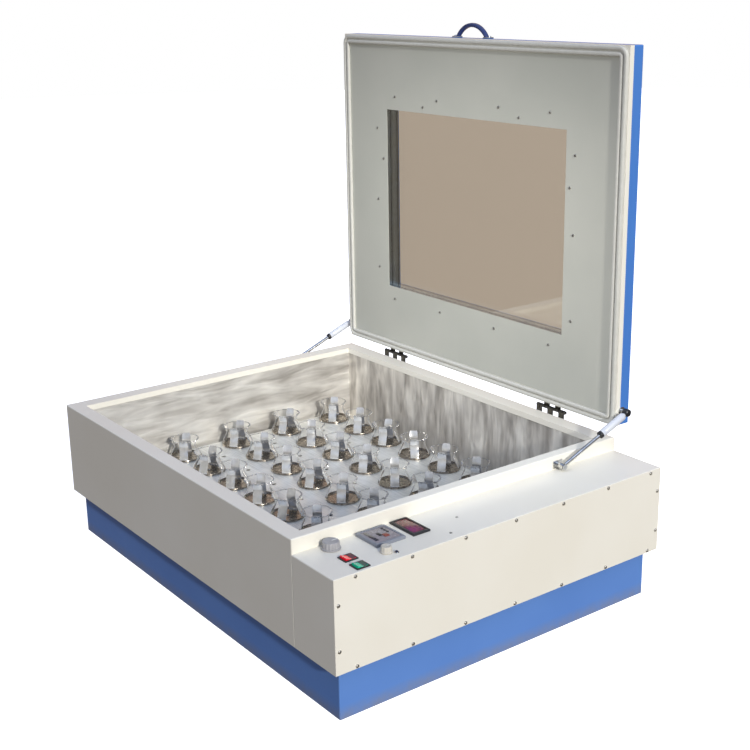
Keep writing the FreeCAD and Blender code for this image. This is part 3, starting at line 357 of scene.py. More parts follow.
def pan_head(radius, height, turn=Matrix()):
    """One screw head on the plane z = 0 with a cross recess, as a mesh to be set out."""
    bm = bmesh.new()
    shank, bottom = radius * 0.42, -2.0
    profile = [(0, bottom), (shank, bottom), (shank, 0), (radius, 0), (radius, height * 0.35),
               (radius * 0.88, height * 0.72), (radius * 0.66, height)]
    top_ring = turned(bm, profile, 12, turn @ MM)[-1]
    reach, half, deep = radius * 0.52, radius * 0.11, height * 0.45
    arm = [(reach, -half), (reach, half), (half, half)]
    quarters = ((1, 0), (0, 1), (-1, 0), (0, -1))
    cross = [(x * c - y * s, x * s + y * c) for c, s in quarters for x, y in arm]
    edge, base = ([bm.verts.new(turn @ MM @ Vector((x, y, z))) for x, y in cross]
                  for z in (height, deep))
    for i in range(12):
        j = (i + 1) % 12
        bm.faces.new((top_ring[i], top_ring[j], edge[j], edge[i]))
        bm.faces.new((edge[i], edge[j], base[j], base[i]))
    bm.faces.new(base)
    bmesh.ops.recalc_face_normals(bm, faces=bm.faces)
    mesh = bpy.data.meshes.new("screw_pattern")
    bm.to_mesh(mesh)
    bm.free()
    return mesh


def geometry_tree(name, inputs):
    """A Geometry Nodes tree with a geometry input, and named inputs of the given socket types."""
    tree = bpy.data.node_groups.new(name, "GeometryNodeTree")
    tree.interface.new_socket("Geometry", in_out="INPUT", socket_type="NodeSocketGeometry")
    for label, kind in inputs.items():
        tree.interface.new_socket(label, in_out="INPUT", socket_type="NodeSocket" + kind)
    tree.interface.new_socket("Geometry", in_out="OUTPUT", socket_type="NodeSocketGeometry")
    return tree, node(tree, "NodeGroupInput").outputs


def close_tree(tree, shape, material):
    """Ends a tree: its instances become real and get their material."""
    real = node(tree, "GeometryNodeRealizeInstances", {0: shape})
    painted = node(tree, "GeometryNodeSetMaterial", {0: real.outputs[0], "Material": material})
    node(tree, "NodeGroupOutput", {0: painted.outputs[0]})


def run_tree(tree, start, values):
    """Runs a tree on a starting mesh and returns the plain mesh it gives."""
    carrier = bpy.data.objects.new("carrier", start)
    scene.collection.objects.link(carrier)
    modifier = carrier.modifiers.new("tree", "NODES")
    modifier.node_group = tree
    for socket in tree.interface.items_tree:
        if socket.name in values:
            modifier[socket.identifier] = values[socket.name]
    ready = carrier.evaluated_get(bpy.context.evaluated_depsgraph_get())
    mesh = bpy.data.meshes.new_from_object(ready)
    bpy.data.objects.remove(carrier)
    return mesh


def grown(name, tree, start, values, body, smooth=35, stands_for=()):
    """Makes a piece of what a tree gives."""
    mesh = run_tree(tree, start, values)
    mesh.name = name
    settle(name, mesh, body, smooth, stands_for)


def places(points):
    """A mesh of loose points, in millimetres."""
    mesh = bpy.data.meshes.new("places")
    mesh.from_pydata([Vector(p) / 1000 for p in points], [], [])
    return mesh


screws_tree, given = geometry_tree("screws_at_places", {"Screw": "Object", "Axis": "Vector",
                                                        "Seed": "Int", "Finish": "Material"})
pattern = node(screws_tree, "GeometryNodeObjectInfo", {"Object": given["Screw"]})
spots = node(screws_tree, "GeometryNodeMeshToPoints", {0: given["Geometry"]})
turn = node(screws_tree, "FunctionNodeRandomValue", {"Seed": given["Seed"]}, data_type="FLOAT")
turn.inputs[2].default_value, turn.inputs[3].default_value = 0.0, math.pi / 2
twist = node(screws_tree, "FunctionNodeAxisAngleToRotation",
             {"Axis": given["Axis"], "Angle": turn.outputs[1]})
heads = node(screws_tree, "GeometryNodeInstanceOnPoints",
             {"Points": spots.outputs[0], "Instance": pattern.outputs["Geometry"],
              "Rotation": twist.outputs[0]})
close_tree(screws_tree, heads.outputs[0], given["Finish"])


def set_screws(name, screw, points, axis, finish_of_screw, body, stands_for=()):
    """Sets a screw at each place, its recess turned at random about the axis."""
    sample = bpy.data.objects.new(name + "_sample", screw)
    grown(name, screws_tree, places(points),
          {"Screw": sample, "Axis": axis, "Seed": len(points), "Finish": finish_of_screw},
          body, stands_for=stands_for)
    bpy.data.objects.remove(sample)


zinc = bare_metal("zinc_plated_steel_screws", "#CFCBC2", "#97938B", 0.4, 0.6,
                  (0.002, 0.002, 0.002), 0.004)
LEFT, WALL, RIGHT = -595.5, 454.5, 595.5        # casing's left wall, right wall, and the box's side
FRONT, BACK = -450.0, 450.0
TOP_ROW, LOW_ROW, SIDE_ROWS = 306.5, 118.0, (258.0, 162.0)
SCREW_PITCH, EDGE = 136, 9.5
stations = [FRONT + 50 + SCREW_PITCH * i for i in range(6)] + [BACK - 34]
cover_places = [(RIGHT, y, z) for y in stations for z in (TOP_ROW, LOW_ROW)]
cover_places += [(RIGHT, y, z) for y in (FRONT + EDGE, BACK - EDGE) for z in SIDE_ROWS]
face_right = Matrix.Rotation(math.pi / 2, 4, "Y")
set_screws("side_cover_screws", pan_head(4.1, 2.2, face_right), cover_places, (1, 0, 0), zinc, "base",
           stands_for=("cover_screws",))


# ---- timer and speed setting ----
# Fluted ABS knobs, grey for the timer and ivory for the speed, each with a white pointer, pushed on
# their shafts. Under the panel sit a clockwork timer and a wire-wound speed setting in black bodies.
def moulded(name, colour, worn, rough=0.4, grain=0.0008):
    """Injection-moulded plastic or rubber: a fine spark-eroded grain and slightly uneven gloss."""
    plastic, tree, shader, place = patterned(name)
    clouds = node(tree, "ShaderNodeTexNoise", {"Vector": place, "Scale": 1 / 0.012, "Detail": 3.0})
    tone = node(tree, "ShaderNodeMix", {0: clouds.outputs[0], 6: linear(colour), 7: linear(worn)},
                data_type="RGBA").outputs[2]
    gloss = node(tree, "ShaderNodeMapRange", {"Value": clouds.outputs[0], "To Min": rough - 0.08,
                                              "To Max": rough + 0.1})
    pits = node(tree, "ShaderNodeTexNoise", {"Vector": place, "Scale": 1 / grain, "Detail": 1.0})
    bump = node(tree, "ShaderNodeBump",
                {"Height": pits.outputs[0], "Strength": 0.2, "Distance": 0.0001})
    tree.links.new(tone, shader.inputs["Base Color"])
    tree.links.new(gloss.outputs[0], shader.inputs["Roughness"])
    tree.links.new(bump.outputs[0], shader.inputs["Normal"])
    return plastic


# Satin plastic: each flute carries a soft highlight.
grey_abs = moulded("grey_abs_knobs", "#A3A1A2", "#918F8F", 0.38)
black_abs = moulded("black_abs_mouldings", "#1B1B1D", "#262628", 0.35)
finish(black_abs, "rotary_controls")
PANEL = 313.0                                   # top of the control box


def solid(name, bm, body, *materials, smooth=35, stands_for=()):
    """Makes a piece of a built mesh and its materials."""
    mesh = bpy.data.meshes.new(name)
    bm.to_mesh(mesh)
    bm.free()
    for material in materials:
        mesh.materials.append(material)
    settle(name, mesh, body, smooth, stands_for)


def fluted_knob(name, x, y, radius, height, flutes, plastic):
    """A knob with a skirt, fluted grip, dished top and pointer ridge."""
    bm = bmesh.new()
    per_flute, pull_in, low = 6, 0.075, 0.5
    levels = [(0.0, low, 0), (0.98, low, 0), (1.0, low + 0.5, 0), (1.0, low + 2.4, 0),
              (0.95, low + 3.0, 0), (0.91, low + 3.4, 1), (0.87, height - 1.6, 1),
              (0.83, height - 0.7, 0.6), (0.78, height - 0.2, 0.1), (0.70, height, 0),
              (0.62, height - 0.5, 0), (0.0, height - 0.5, 0)]
    rings = turned(bm, [(radius * r, z) for r, z, _ in levels], flutes * per_flute, Matrix())
    for ring, (_, _, depth) in zip(rings, levels):
        for i, vert in enumerate(ring):
            groove = 0.5 + 0.5 * math.cos(2 * math.pi * i / per_flute)
            pull = 1 - pull_in * depth * groove ** 2
            vert.co.x *= pull
            vert.co.y *= pull
    ridge_at = Matrix.Translation((0, radius * 0.42, height - 0.25))
    ridge = bmesh.ops.create_cube(bm, size=1.0,
                                  matrix=ridge_at @ Matrix.Diagonal((1.6, radius * 0.66, 0.9, 1)))
    for face in {f for v in ridge["verts"] for f in v.link_faces}:
        face.material_index = 1
    turned(bm, [(0, -13.5), (3, -13.5), (3, low + 0.2)], 12, Matrix())
    bmesh.ops.transform(bm, matrix=Matrix.Translation((x / 1000, y / 1000, PANEL / 1000)) @ MM,
                        verts=bm.verts)
    solid(name, bm, name, plastic, pointer_white, smooth=40, stands_for=(name,))


pointer_white = moulded("white_pointer_fill", "#D8D8D6", "#C8C8C4", 0.45)
fluted_knob("timer_knob", WALL + 24, FRONT + 76, 20.0, 17.0, 14, grey_abs)
ivory_abs = moulded("ivory_abs_knob", "#C9C3B6", "#BDB7AA", 0.4)
fluted_knob("speed_knob", WALL + 105, FRONT + 150, 12.5, 14.0, 10, ivory_abs)


# ---- rocker switches ----
# Illuminated mains rockers: a black housing snapped into the panel, and a translucent
# polycarbonate cap in red and in green, pressed down at its back end. The back half of each cap is
# painted a deep, dark colour as painted shade, and both halves emit a painted glow.
finish(black_abs, "rocker_housings")


def tinted(name, colour, deep, painted_glow):
    """Translucent moulded polycarbonate: glossy, with its colour deeper where it is thicker.
    It also emits its own colour as a painted glow, as strong as the last argument says.
    """
    plastic, tree, shader, place = patterned(name)
    clouds = node(tree, "ShaderNodeTexNoise", {"Vector": place, "Scale": 1 / 0.008, "Detail": 2.0})
    tone = node(tree, "ShaderNodeMix", {0: clouds.outputs[0], 6: linear(colour), 7: linear(deep)},
                data_type="RGBA").outputs[2]
    tree.links.new(tone, shader.inputs["Base Color"])
    tree.links.new(tone, shader.inputs["Emission Color"])
    # Painted glow: the moulding emits its own colour.
    shader.inputs["Emission Strength"].default_value = painted_glow
    shader.inputs["Roughness"].default_value = 0.16
    shader.inputs["Coat Weight"].default_value = 0.5
    return plastic


def rocker_cap(name, at_x, at_y, colour, deep):
    """A rocker cap: two dished halves that meet in a shallow valley, with rounded edges. Its back
    half takes the deep colour, which is painted shade.
    """
    bm = bmesh.new()
    half_width, reach, spans = 10.6, 11.5, 12
    along = [-reach + 2 * reach * i / spans for i in range(spans + 1)]
    top = [(y, 1.9 + 2.6 * (abs(y) / reach) ** 1.5) for y in along]
    outline = [(-reach, 0.5), *top, (reach, 0.5), (7, -7), (-7, -7)]
    sides = [[bm.verts.new((s * half_width, y, z)) for y, z in outline] for s in (-1, 1)]
    for i in range(len(outline)):
        j = (i + 1) % len(outline)
        bm.faces.new((sides[0][i], sides[0][j], sides[1][j], sides[1][i]))
    for side in sides:
        bm.faces.new(side)
    rim = [e for e in bm.edges
           if abs(e.verts[0].co.x - e.verts[1].co.x) < 1e-6 and e.verts[0].co.z > 1]
    bmesh.ops.bevel(bm, geom=rim, offset=0.7, segments=2, affect="EDGES", profile=0.5)
    pivot = Matrix.Translation((at_x / 1000, at_y / 1000, (PANEL + 0.5) / 1000))
    tilt = Matrix.Rotation(math.radians(-7), 4, "X")
    bmesh.ops.transform(bm, matrix=pivot @ tilt @ MM, verts=bm.verts)
    # The back half takes the second material: painted shade in a deeper, darker colour.
    for face in bm.faces:
        face.material_index = int(face.calc_center_median().y > (at_y + 1.2) / 1000)
    # Both halves emit their own colour as a painted glow, the front half more strongly.
    cap = tinted(name + "_polycarbonate", colour, colour, 0.3)
    pressed = tinted(name + "_painted_shade_half", deep, deep, 0.05)
    solid(name, bm, name, cap, pressed, smooth=50, stands_for=(name,))


# The second colour of each cap is the painted shade of its back half.
rocker_cap("red_rocker", WALL + 81, FRONT + 76, "#DB1A2C", "#4E1E36")
rocker_cap("green_rocker", WALL + 121, FRONT + 75, "#0FA582", "#0C4E4A")

# ---- indicator lamp ----
# A small neon behind the speed knob: a ring of chromed brass pressed in the panel round a smoked
# polycarbonate dome. It is unlit, so it reads as a dark bead in a bright, mirror-like ring.
chrome = bare_metal("bright_chromed_brass", "#E4E4E2", "#BDBDBC", 0.06, 0.16, (0.02, 0.02, 0.02), 0.02)
bm = bmesh.new()
turned(bm, [(0, -8), (3.2, -8), (3.2, 0), (5.0, 0), (5.0, 0.8), (4.4, 1.6), (3.7, 1.7), (3.5, 1.2),
            (3.5, 0.6)], 24, MM, 0)
turned(bm, [(3.5, 0.6), (3.4, 2.2), (2.8, 3.5), (1.6, 4.4), (0, 4.7)], 24, MM, 1)
bmesh.ops.remove_doubles(bm, verts=bm.verts, dist=1e-6)
bmesh.ops.translate(bm, verts=bm.verts, vec=Vector((WALL + 118.7, FRONT + 165, PANEL)) / 1000)
smoked = tinted("smoked_neon_lens", "#1E2440", "#11152A", 0.0)
solid("indicator_lamp", bm, "base", chrome, smoked, smooth=40)


# ---- temperature controller ----
# A 72 mm square instrument: a grey ABS case through the panel and a grey printed polyester face,
# with a dark scale window and its tick marks at the front, a black and brick-red setting button and
# three keys.
def block(bm, low, high, soft, material=0, steps=2):
    """Adds a block with softened edges, in millimetres."""
    middle = (Vector(low) + Vector(high)) / 2
    sizes = Vector(high) - Vector(low)
    made = bmesh.ops.create_cube(bm, size=1.0, matrix=Matrix.Translation(middle / 1000)
                                 @ Matrix.Diagonal((*sizes / 1000, 1)))
    edges = list({e for v in made["verts"] for e in v.link_edges})
    faces = {f for v in made["verts"] for f in v.link_faces}
    for face in faces:
        face.material_index = material
    if soft:
        made = bmesh.ops.bevel(bm, geom=edges, offset=soft / 1000, segments=steps, affect="EDGES",
                               profile=0.5)
        for face in made["faces"]:
            face.material_index = material


case_grey = moulded("grey_abs_instrument_case", "#83868E", "#767A83", 0.3)
face_grey = moulded("printed_polyester_face", "#92898A", "#878388", 0.25, 0.002)
finish(case_grey, "controller_housing")
scale_dark = tinted("dark_scale_window", "#16203A", "#0E1220", 0.0)
brick = moulded("brick_red_setting_button", "#8E4A3C", "#7A3B30", 0.35)
cx, cy, base_z = WALL + 44, FRONT + 182, PANEL + 5
print_z = base_z + 1.3                          # parts on the face start just inside it
bm = bmesh.new()
block(bm, (cx - 29.9, cy - 29.9, base_z), (cx + 29.9, cy + 29.9, base_z + 1.4), 0.4)
block(bm, (cx - 25, cy - 26, print_z), (cx + 20, cy - 18, base_z + 1.9), 0.25, 1)
block(bm, (cx - 8, cy - 6, print_z), (cx + 5, cy + 1, base_z + 2.6), 0.4, 3)
block(bm, (cx + 3, cy + 1, print_z), (cx + 15, cy + 12, base_z + 3.4), 0.6, 2)
for i in range(3):
    key_x = cx - 24 + 9 * i
    block(bm, (key_x, cy + 17, print_z), (key_x + 6, cy + 22, base_z + 2.2), 0.5, 3)
for i in range(11):
    x, tick_end = cx - 22.5 + 4 * i, cy - (14.2 if i % 5 else 12.8)
    block(bm, (x - 0.25, cy - 16.5, base_z + 1.35), (x + 0.25, tick_end, base_z + 1.5), 0, 3)
solid("controller_face", bm, "base", face_grey, scale_dark, brick, black_abs, smooth=30,
      stands_for=("controller_face",))

# ---- speed display ----
# A four-digit LED read-out: black ABS bezel, a wine-red acrylic filter and unlit segments that
# show faintly through it. The filter carries two soft patches of painted light, brown at the left
# and magenta at the right, and the filter and the segments both emit a faint painted glow.
finish(black_abs, "display_bezel")
filter_red, tree, shader, place = patterned("wine_red_acrylic_filter")
dx, dy = WALL + 43, FRONT + 257
tone = linear("#331E26")
# Two soft patches of painted light, brown and magenta, spread over the filter's dark colour.
for x, y, size, painted_glow in ((dx - 16, dy + 4, 0.030, "#6E3C30"), (dx + 18, dy - 6, 0.024, "#7C2068")):
    reach = node(tree, "ShaderNodeVectorMath", {0: place, 1: (x / 1000, y / 1000, PANEL / 1000)},
                 operation="DISTANCE").outputs["Value"]
    share = node(tree, "ShaderNodeMapRange", {"Value": reach, "From Min": 0.004, "From Max": size,
                                              "To Min": 0.85, "To Max": 0.0})
    tone = node(tree, "ShaderNodeMix", {0: share.outputs[0], 6: tone, 7: linear(painted_glow)},
                data_type="RGBA").outputs[2]
tree.links.new(tone, shader.inputs["Base Color"])
# The filter emits its colour as a faint painted glow.
tree.links.new(tone, shader.inputs["Emission Color"])
shader.inputs["Emission Strength"].default_value = 0.15
shader.inputs["Roughness"].default_value = 0.12
# The unlit segments emit a faint painted glow.
segment_red = tinted("unlit_led_segments", "#8A3A44", "#6E2A36", 0.15)
bm = bmesh.new()
lens_z = PANEL + 2.5
block(bm, (dx - 34.4, dy - 16.4, lens_z), (dx + 34.4, dy + 16.4, lens_z + 1.8), 0.3)
for digit in range(4):
    mx = dx - 24.6 + 16.4 * digit
    flat_bars = [(0, y, 8, 1.7) for y in (11, 0, -11)]
    standing_bars = [(x, y, 1.7, 8.6) for y in (5.5, -5.5) for x in (-5, 5)]
    for bar_x, bar_y, wide, tall in flat_bars + standing_bars:
        block(bm, (mx + bar_x - wide / 2, dy + bar_y - tall / 2, lens_z + 1.75),
              (mx + bar_x + wide / 2, dy + bar_y + tall / 2, lens_z + 1.84), 0, 1)
solid("display_lens", bm, "base", filter_red, segment_red, smooth=30, stands_for=("display_lens",))

# ---- panel screws ----
# Two small pan heads of zinc-plated steel, driven down through the panel into the bracket that
# carries the board.
board_screws = [(WALL + 115.5, FRONT + 304, PANEL), (WALL + 64, FRONT + 363, PANEL)]
set_screws("panel_screws", pan_head(3.2, 1.4), board_screws, (0, 0, 1), zinc, "base")

# ---- power board and cord gland ----
# A glass-epoxy board on brass posts with its transformer and relay, under a dull green mask. A matt
# black nylon gland is screwed in the back, where the cord would enter.
board = moulded("solder_masked_board", "#1F5B3A", "#2C6F49", 0.35, 0.002)
nylon = moulded("black_nylon_gland", "#202022", "#2A2A2C", 0.5, 0.001)
finish(board, "control_board")
finish(nylon, "cord_gland")

# ---- heaters, probe and drain ----
# Tubular elements in a bright stainless sheath that heat has browned a little, a stainless probe,
# and a turned brass ball valve, golden brown, with a pressed lever in dull zinc.
sheath = bare_metal("polished_stainless_tube", "#CFCBC3", "#8B7F70", 0.15, 0.35,
                    (0.03, 0.01, 0.01), 0.02)
brass = bare_metal("turned_brass", "#C29A4B", "#8C6A30", 0.22, 0.4, (0.0015, 0.0015, 0.0015), 0.012)
zinc_sheet = bare_metal("zinc_plated_pressed_steel", "#B4B3AC", "#8A8880", 0.28, 0.5,
                        (0.02, 0.02, 0.02), 0.01)
finish(sheath, "heaters", "temperature_probe")
finish(brass, "drain_valve")
finish(zinc_sheet, "drain_lever")

# ---- drive ----
# A flange motor in a grainy cast aluminium housing, turned pulleys with a rubber belt, a smooth
# ground steel crank spindle in ball bearings, and a matt nitrile shaft seal. The platform's guide
# rods are ground too, and its slide bushes are dull sintered bronze.
cast = bare_metal("sand_cast_aluminium", "#B1B2B2", "#7E8081", 0.45, 0.7,
                  (0.0025, 0.0025, 0.0025), 0.006)
turned_aluminium = bare_metal("turned_aluminium", "#C4C5C4", "#9B9C9B", 0.25, 0.4,
                              (0.01, 0.01, 0.0008), 0.01)
ground_steel = bare_metal("ground_steel_shaft", "#BDBEC0", "#8C8E92", 0.15, 0.3,
                          (0.004, 0.02, 0.0015), 0.02)
rubber = moulded("black_nitrile_rubber", "#232322", "#33322F", 0.7, 0.0015)
finish(cast, "drive_motor", "spindle_housing")
finish(turned_aluminium, "motor_pulley", "spindle_pulley")
finish(ground_steel, "crank_spindle", "spindle_bearings", "guide_rods")
finish(rubber, "drive_belt", "shaft_seal")
bronze = bare_metal("sintered_bronze_bushes", "#9C7A4E", "#6E5433", 0.4, 0.6,
                    (0.001, 0.001, 0.001), 0.004)
finish(bronze, "slide_bushes")
finish(zinc_sheet, "rod_supports")

# ---- shaken platform ----
# A tray pressed from 2 mm stainless, cold-rolled and matt, on two flat bearers. Its top has faint
# rolling lines from left to right and water marks.
tray_steel = bare_metal("cold_rolled_stainless_tray", "#F1F0EA", "#CBCBC4", 0.34, 0.6,
                        (0.09, 0.003, 0.003), dents=0.0015, metallic=0.6)
finish(tray_steel, "platform_tray")
finish(sheath, "platform_bearers")

# ---- flask clamps ----
# Forty spring clamps: a spun dish, four spring-steel fingers drawn together by a coil spring laid
# round them, and one screw through the middle. Each was tightened at a slightly different angle.
clamp_tree, given = geometry_tree("clamp_lattice", {
    "Columns": "Int", "Rows": "Int", "Pitch": "Vector", "First": "Vector",
    "Turn": "Float", "Sway": "Float", "Finish": "Material"})
counts = node(clamp_tree, "ShaderNodeCombineXYZ", {0: given["Columns"], 1: given["Rows"]})
gaps = node(clamp_tree, "ShaderNodeVectorMath", {0: counts.outputs[0], 1: (1, 1, 0)},
            operation="SUBTRACT")
span = node(clamp_tree, "ShaderNodeVectorMath", {0: gaps.outputs[0], 1: given["Pitch"]},
            operation="MULTIPLY").outputs[0]
sides = node(clamp_tree, "ShaderNodeSeparateXYZ", {0: span}).outputs
grid = node(clamp_tree, "GeometryNodeMeshGrid",
            {"Size X": sides[0], "Size Y": sides[1],
             "Vertices X": given["Columns"], "Vertices Y": given["Rows"]})
shift = node(clamp_tree, "ShaderNodeVectorMath", {0: span, 1: (0.5, 0.5, 0.5), 2: given["First"]},
             operation="MULTIPLY_ADD")
moved = node(clamp_tree, "GeometryNodeTransform",
             {0: grid.outputs[0], "Translation": shift.outputs[0]})
spot = node(clamp_tree, "GeometryNodeInputPosition").outputs[0]
local = node(clamp_tree, "ShaderNodeVectorMath", {0: spot, 1: given["First"]}, operation="SUBTRACT")
cell = node(clamp_tree, "ShaderNodeVectorMath", {0: local.outputs[0], 1: given["Pitch"]},
            operation="DIVIDE")
phase = node(clamp_tree, "ShaderNodeVectorMath", {0: cell.outputs[0], 1: (2.4, 1.7, 0)},
             operation="DOT_PRODUCT")
swing = node(clamp_tree, "ShaderNodeMath", {0: phase.outputs["Value"]}, operation="SINE")
angle = node(clamp_tree, "ShaderNodeMath", {0: swing.outputs[0], 1: given["Sway"], 2: given["Turn"]},
             operation="MULTIPLY_ADD")
twist = node(clamp_tree, "FunctionNodeAxisAngleToRotation",
             {"Axis": (0, 0, 1), "Angle": angle.outputs[0]})
spots = node(clamp_tree, "GeometryNodeMeshToPoints", {0: moved.outputs[0]})
copies = node(clamp_tree, "GeometryNodeInstanceOnPoints", {
    "Points": spots.outputs[0], "Instance": given["Geometry"], "Rotation": twist.outputs[0]})
close_tree(clamp_tree, copies.outputs[0], given["Finish"])


def fit_clamps(name, sample, material, smooth):
    """Sets one part of a clamp at every place on the platform, instead of the CAD node of that name."""
    mesh = bpy.data.meshes.new(name + "_sample")
    sample.to_mesh(mesh)
    sample.free()
    lattice = {"Columns": 8, "Rows": 5, "Pitch": (0.124, 0.160, 1.0),
               "First": ((LEFT + 102) / 1000, (FRONT + 118) / 1000, 0.165),
               "Turn": math.radians(45), "Sway": math.radians(9), "Finish": material}
    grown(name, clamp_tree, mesh, lattice, "platform", smooth, (name,))


# Dish: spun from 1.5 mm stainless with a rolled rim; it has spinning rings and is duller inside.
dish_steel = bare_metal("spun_stainless_dish", "#B5ADA1", "#6D6257", 0.2, 0.4,
                        (0.006, 0.006, 0.02), 0.012)
bm = bmesh.new()
turned(bm, [(0, 0), (41.2, 0), (42.2, 0.6), (42.5, 1.6), (42.5, 4.3), (42.1, 4.9), (41.5, 4.9),
            (41.2, 4.2), (41.1, 2.4), (40.2, 1.5), (12, 1.3), (0, 1.5)], 32, MM)
fit_clamps("clamp_dishes", bm, dish_steel, 40)

# Fingers: 22 mm strips of polished spring steel that lean inwards and flare again at the tip, each a
# little curved across. They are almost mirrors, so they show the pale walls.
spring_steel = bare_metal("polished_spring_steel_strip", "#F4F3F0", "#D4D1CB", 0.08, 0.2,
                          (0.02, 0.02, 0.02), 0.03, metallic=0.7)
bm = bmesh.new()
BOW_RADIUS, STRIP = 60.0, 0.9                   # curve across a finger, and its thickness
course = [(39.4, 1.5, 11.0), (40.4, 5.0, 11.0), (40.0, 9.0, 11.0), (34.0, 21.0, 11.0),
          (27.8, 34.5, 11.0), (27.6, 37.5, 11.0), (30.0, 44.0, 11.0), (33.2, 51.0, 10.6),
          (34.9, 55.4, 8.6)]                    # distance from the axis, height, half width
for quarter in range(4):
    layers = []
    for inset in (0.0, STRIP):
        sheet = []
        for reach, rise, half_width in course:
            line = []
            for k in range(5):
                u = half_width * (k / 2 - 1)
                bow = u * u / (2 * BOW_RADIUS)
                at = Vector((reach - inset - bow, u, rise)) / 1000
                line.append(bm.verts.new(Matrix.Rotation(math.pi / 2 * quarter, 3, "Z") @ at))
            sheet.append(line)
        layers.append(sheet)
    for sheet in layers:
        for a, b in zip(sheet, sheet[1:]):
            for k in range(4):
                bm.faces.new((a[k], a[k + 1], b[k + 1], b[k]))
    outer, inner = layers
    border = ([(r, 0) for r in range(9)] + [(8, k) for k in range(1, 5)]
              + [(r, 4) for r in range(7, -1, -1)] + [(0, k) for k in range(3, 0, -1)])
    for (r1, k1), (r2, k2) in zip(border, border[1:] + border[:1]):
        bm.faces.new((outer[r1][k1], outer[r2][k2], inner[r2][k2], inner[r1][k1]))
fit_clamps("clamp_fingers", bm, spring_steel, 32)

# Springs: a closed coil of 1.1 mm wire laid round the fingers. The real one has about 200 turns; the
# 64 drawn here are as coarse as they must be to show as coils.
POINTS_A_TURN = 5
coil_tree, given = geometry_tree("closed_coil", {
    "Ring": "Float", "Coil": "Float", "Wire": "Float", "Points": "Int", "Centre": "Vector",
    "Finish": "Material"})
ring = node(coil_tree, "GeometryNodeCurvePrimitiveCircle",
            {"Resolution": given["Points"], "Radius": given["Ring"]})
index = node(coil_tree, "GeometryNodeInputIndex").outputs[0]
wind = node(coil_tree, "ShaderNodeMath", {0: index, 1: 2 * math.pi / POINTS_A_TURN},
            operation="MULTIPLY").outputs[0]
outward = node(coil_tree, "ShaderNodeMath", {0: wind}, operation="COSINE").outputs[0]
upward = node(coil_tree, "ShaderNodeMath", {0: wind}, operation="SINE").outputs[0]
spot = node(coil_tree, "GeometryNodeInputPosition").outputs[0]
radial = node(coil_tree, "ShaderNodeVectorMath", {0: spot}, operation="NORMALIZE").outputs[0]
push = node(coil_tree, "ShaderNodeVectorMath", {0: radial, "Scale": outward},
            operation="SCALE").outputs[0]
lift = node(coil_tree, "ShaderNodeCombineXYZ", {2: upward}).outputs[0]
turn = node(coil_tree, "ShaderNodeVectorMath", {0: push, 1: lift}).outputs[0]
offset = node(coil_tree, "ShaderNodeVectorMath", {0: turn, 1: given["Coil"], 2: given["Centre"]},
              operation="MULTIPLY_ADD").outputs[0]
wound = node(coil_tree, "GeometryNodeSetPosition", {0: ring.outputs[0], "Offset": offset})
wire = node(coil_tree, "GeometryNodeCurvePrimitiveCircle", {"Resolution": 3, "Radius": given["Wire"]})
drawn = node(coil_tree, "GeometryNodeCurveToMesh", {0: wound.outputs[0], 1: wire.outputs[0]})
close_tree(coil_tree, drawn.outputs[0], given["Finish"])
coil_steel = bare_metal("drawn_spring_wire", "#D8D5D0", "#A29F9A", 0.2, 0.35, (0.01, 0.01, 0.01), 0.01)
bm = bmesh.new()
bm.from_mesh(run_tree(coil_tree, bpy.data.meshes.new("coil"), {
    "Ring": 0.0353, "Coil": 0.0013, "Wire": 0.00055, "Points": 64 * POINTS_A_TURN,
    "Centre": (0, 0, 0.052), "Finish": coil_steel}))
fit_clamps("clamp_springs", bm, coil_steel, 60)

# Screws: stainless pan heads through each dish.
bm = bmesh.new()
bm.from_mesh(pan_head(4.5, 2.4))
bmesh.ops.translate(bm, verts=bm.verts, vec=(0, 0, 0.0015))
fit_clamps("clamp_screws", bm, sheath, 35)

# ---- lid: shell, frame and reveal ----
# The outside is one pressed shell in blue enamel, the frame round the inside is folded and stoved
# cream, and the window's reveal is a collar of bright stainless sheet with a blurred mirror shine.
lid_blue = enamel("light_blue_stoved_enamel", "#4479C4", "#4A80CA")
finish(lid_blue, "lid_shell")
finish(cream, "lid_frame")
reveal_steel = bare_metal("bright_stainless_collar", "#E2E4E8", "#C4C8D0", 0.12, 0.25, (0.2, 0.2, 0.2))
finish(reveal_steel, "window_reveal")

# ---- lid lining and its screws ----
# A flat steel sheet in matt grey-green enamel. Small pan heads of zinc-plated
# steel round the window hold it to the frame.
lining_paint = enamel("grey_green_lining_enamel", "#BDBDB2", "#B6B7AC")
finish(lining_paint, "lid_lining")
LINING_FACE = 449.1                             # y of the lining's front, with the lid open
above = [(x, 1075) for x in (225, 400, 635, 813)]
below = [(x, 519) for x in (215, 412, 627, 824)]
beside = [(146, z) for z in (600, 792, 987)] + [(897, z) for z in (593, 799, 984)]
extra = [(343, 1055), (707, 1055), (172, 906), (882, 908)]
face_front = Matrix.Rotation(math.pi / 2, 4, "X")
set_screws("lining_screws", pan_head(3.6, 1.6, face_front),
           [(LEFT + x, LINING_FACE, z) for x, z in above + below + beside + extra], (0, 1, 0), zinc,
           "lid", stands_for=("lining_screws",))

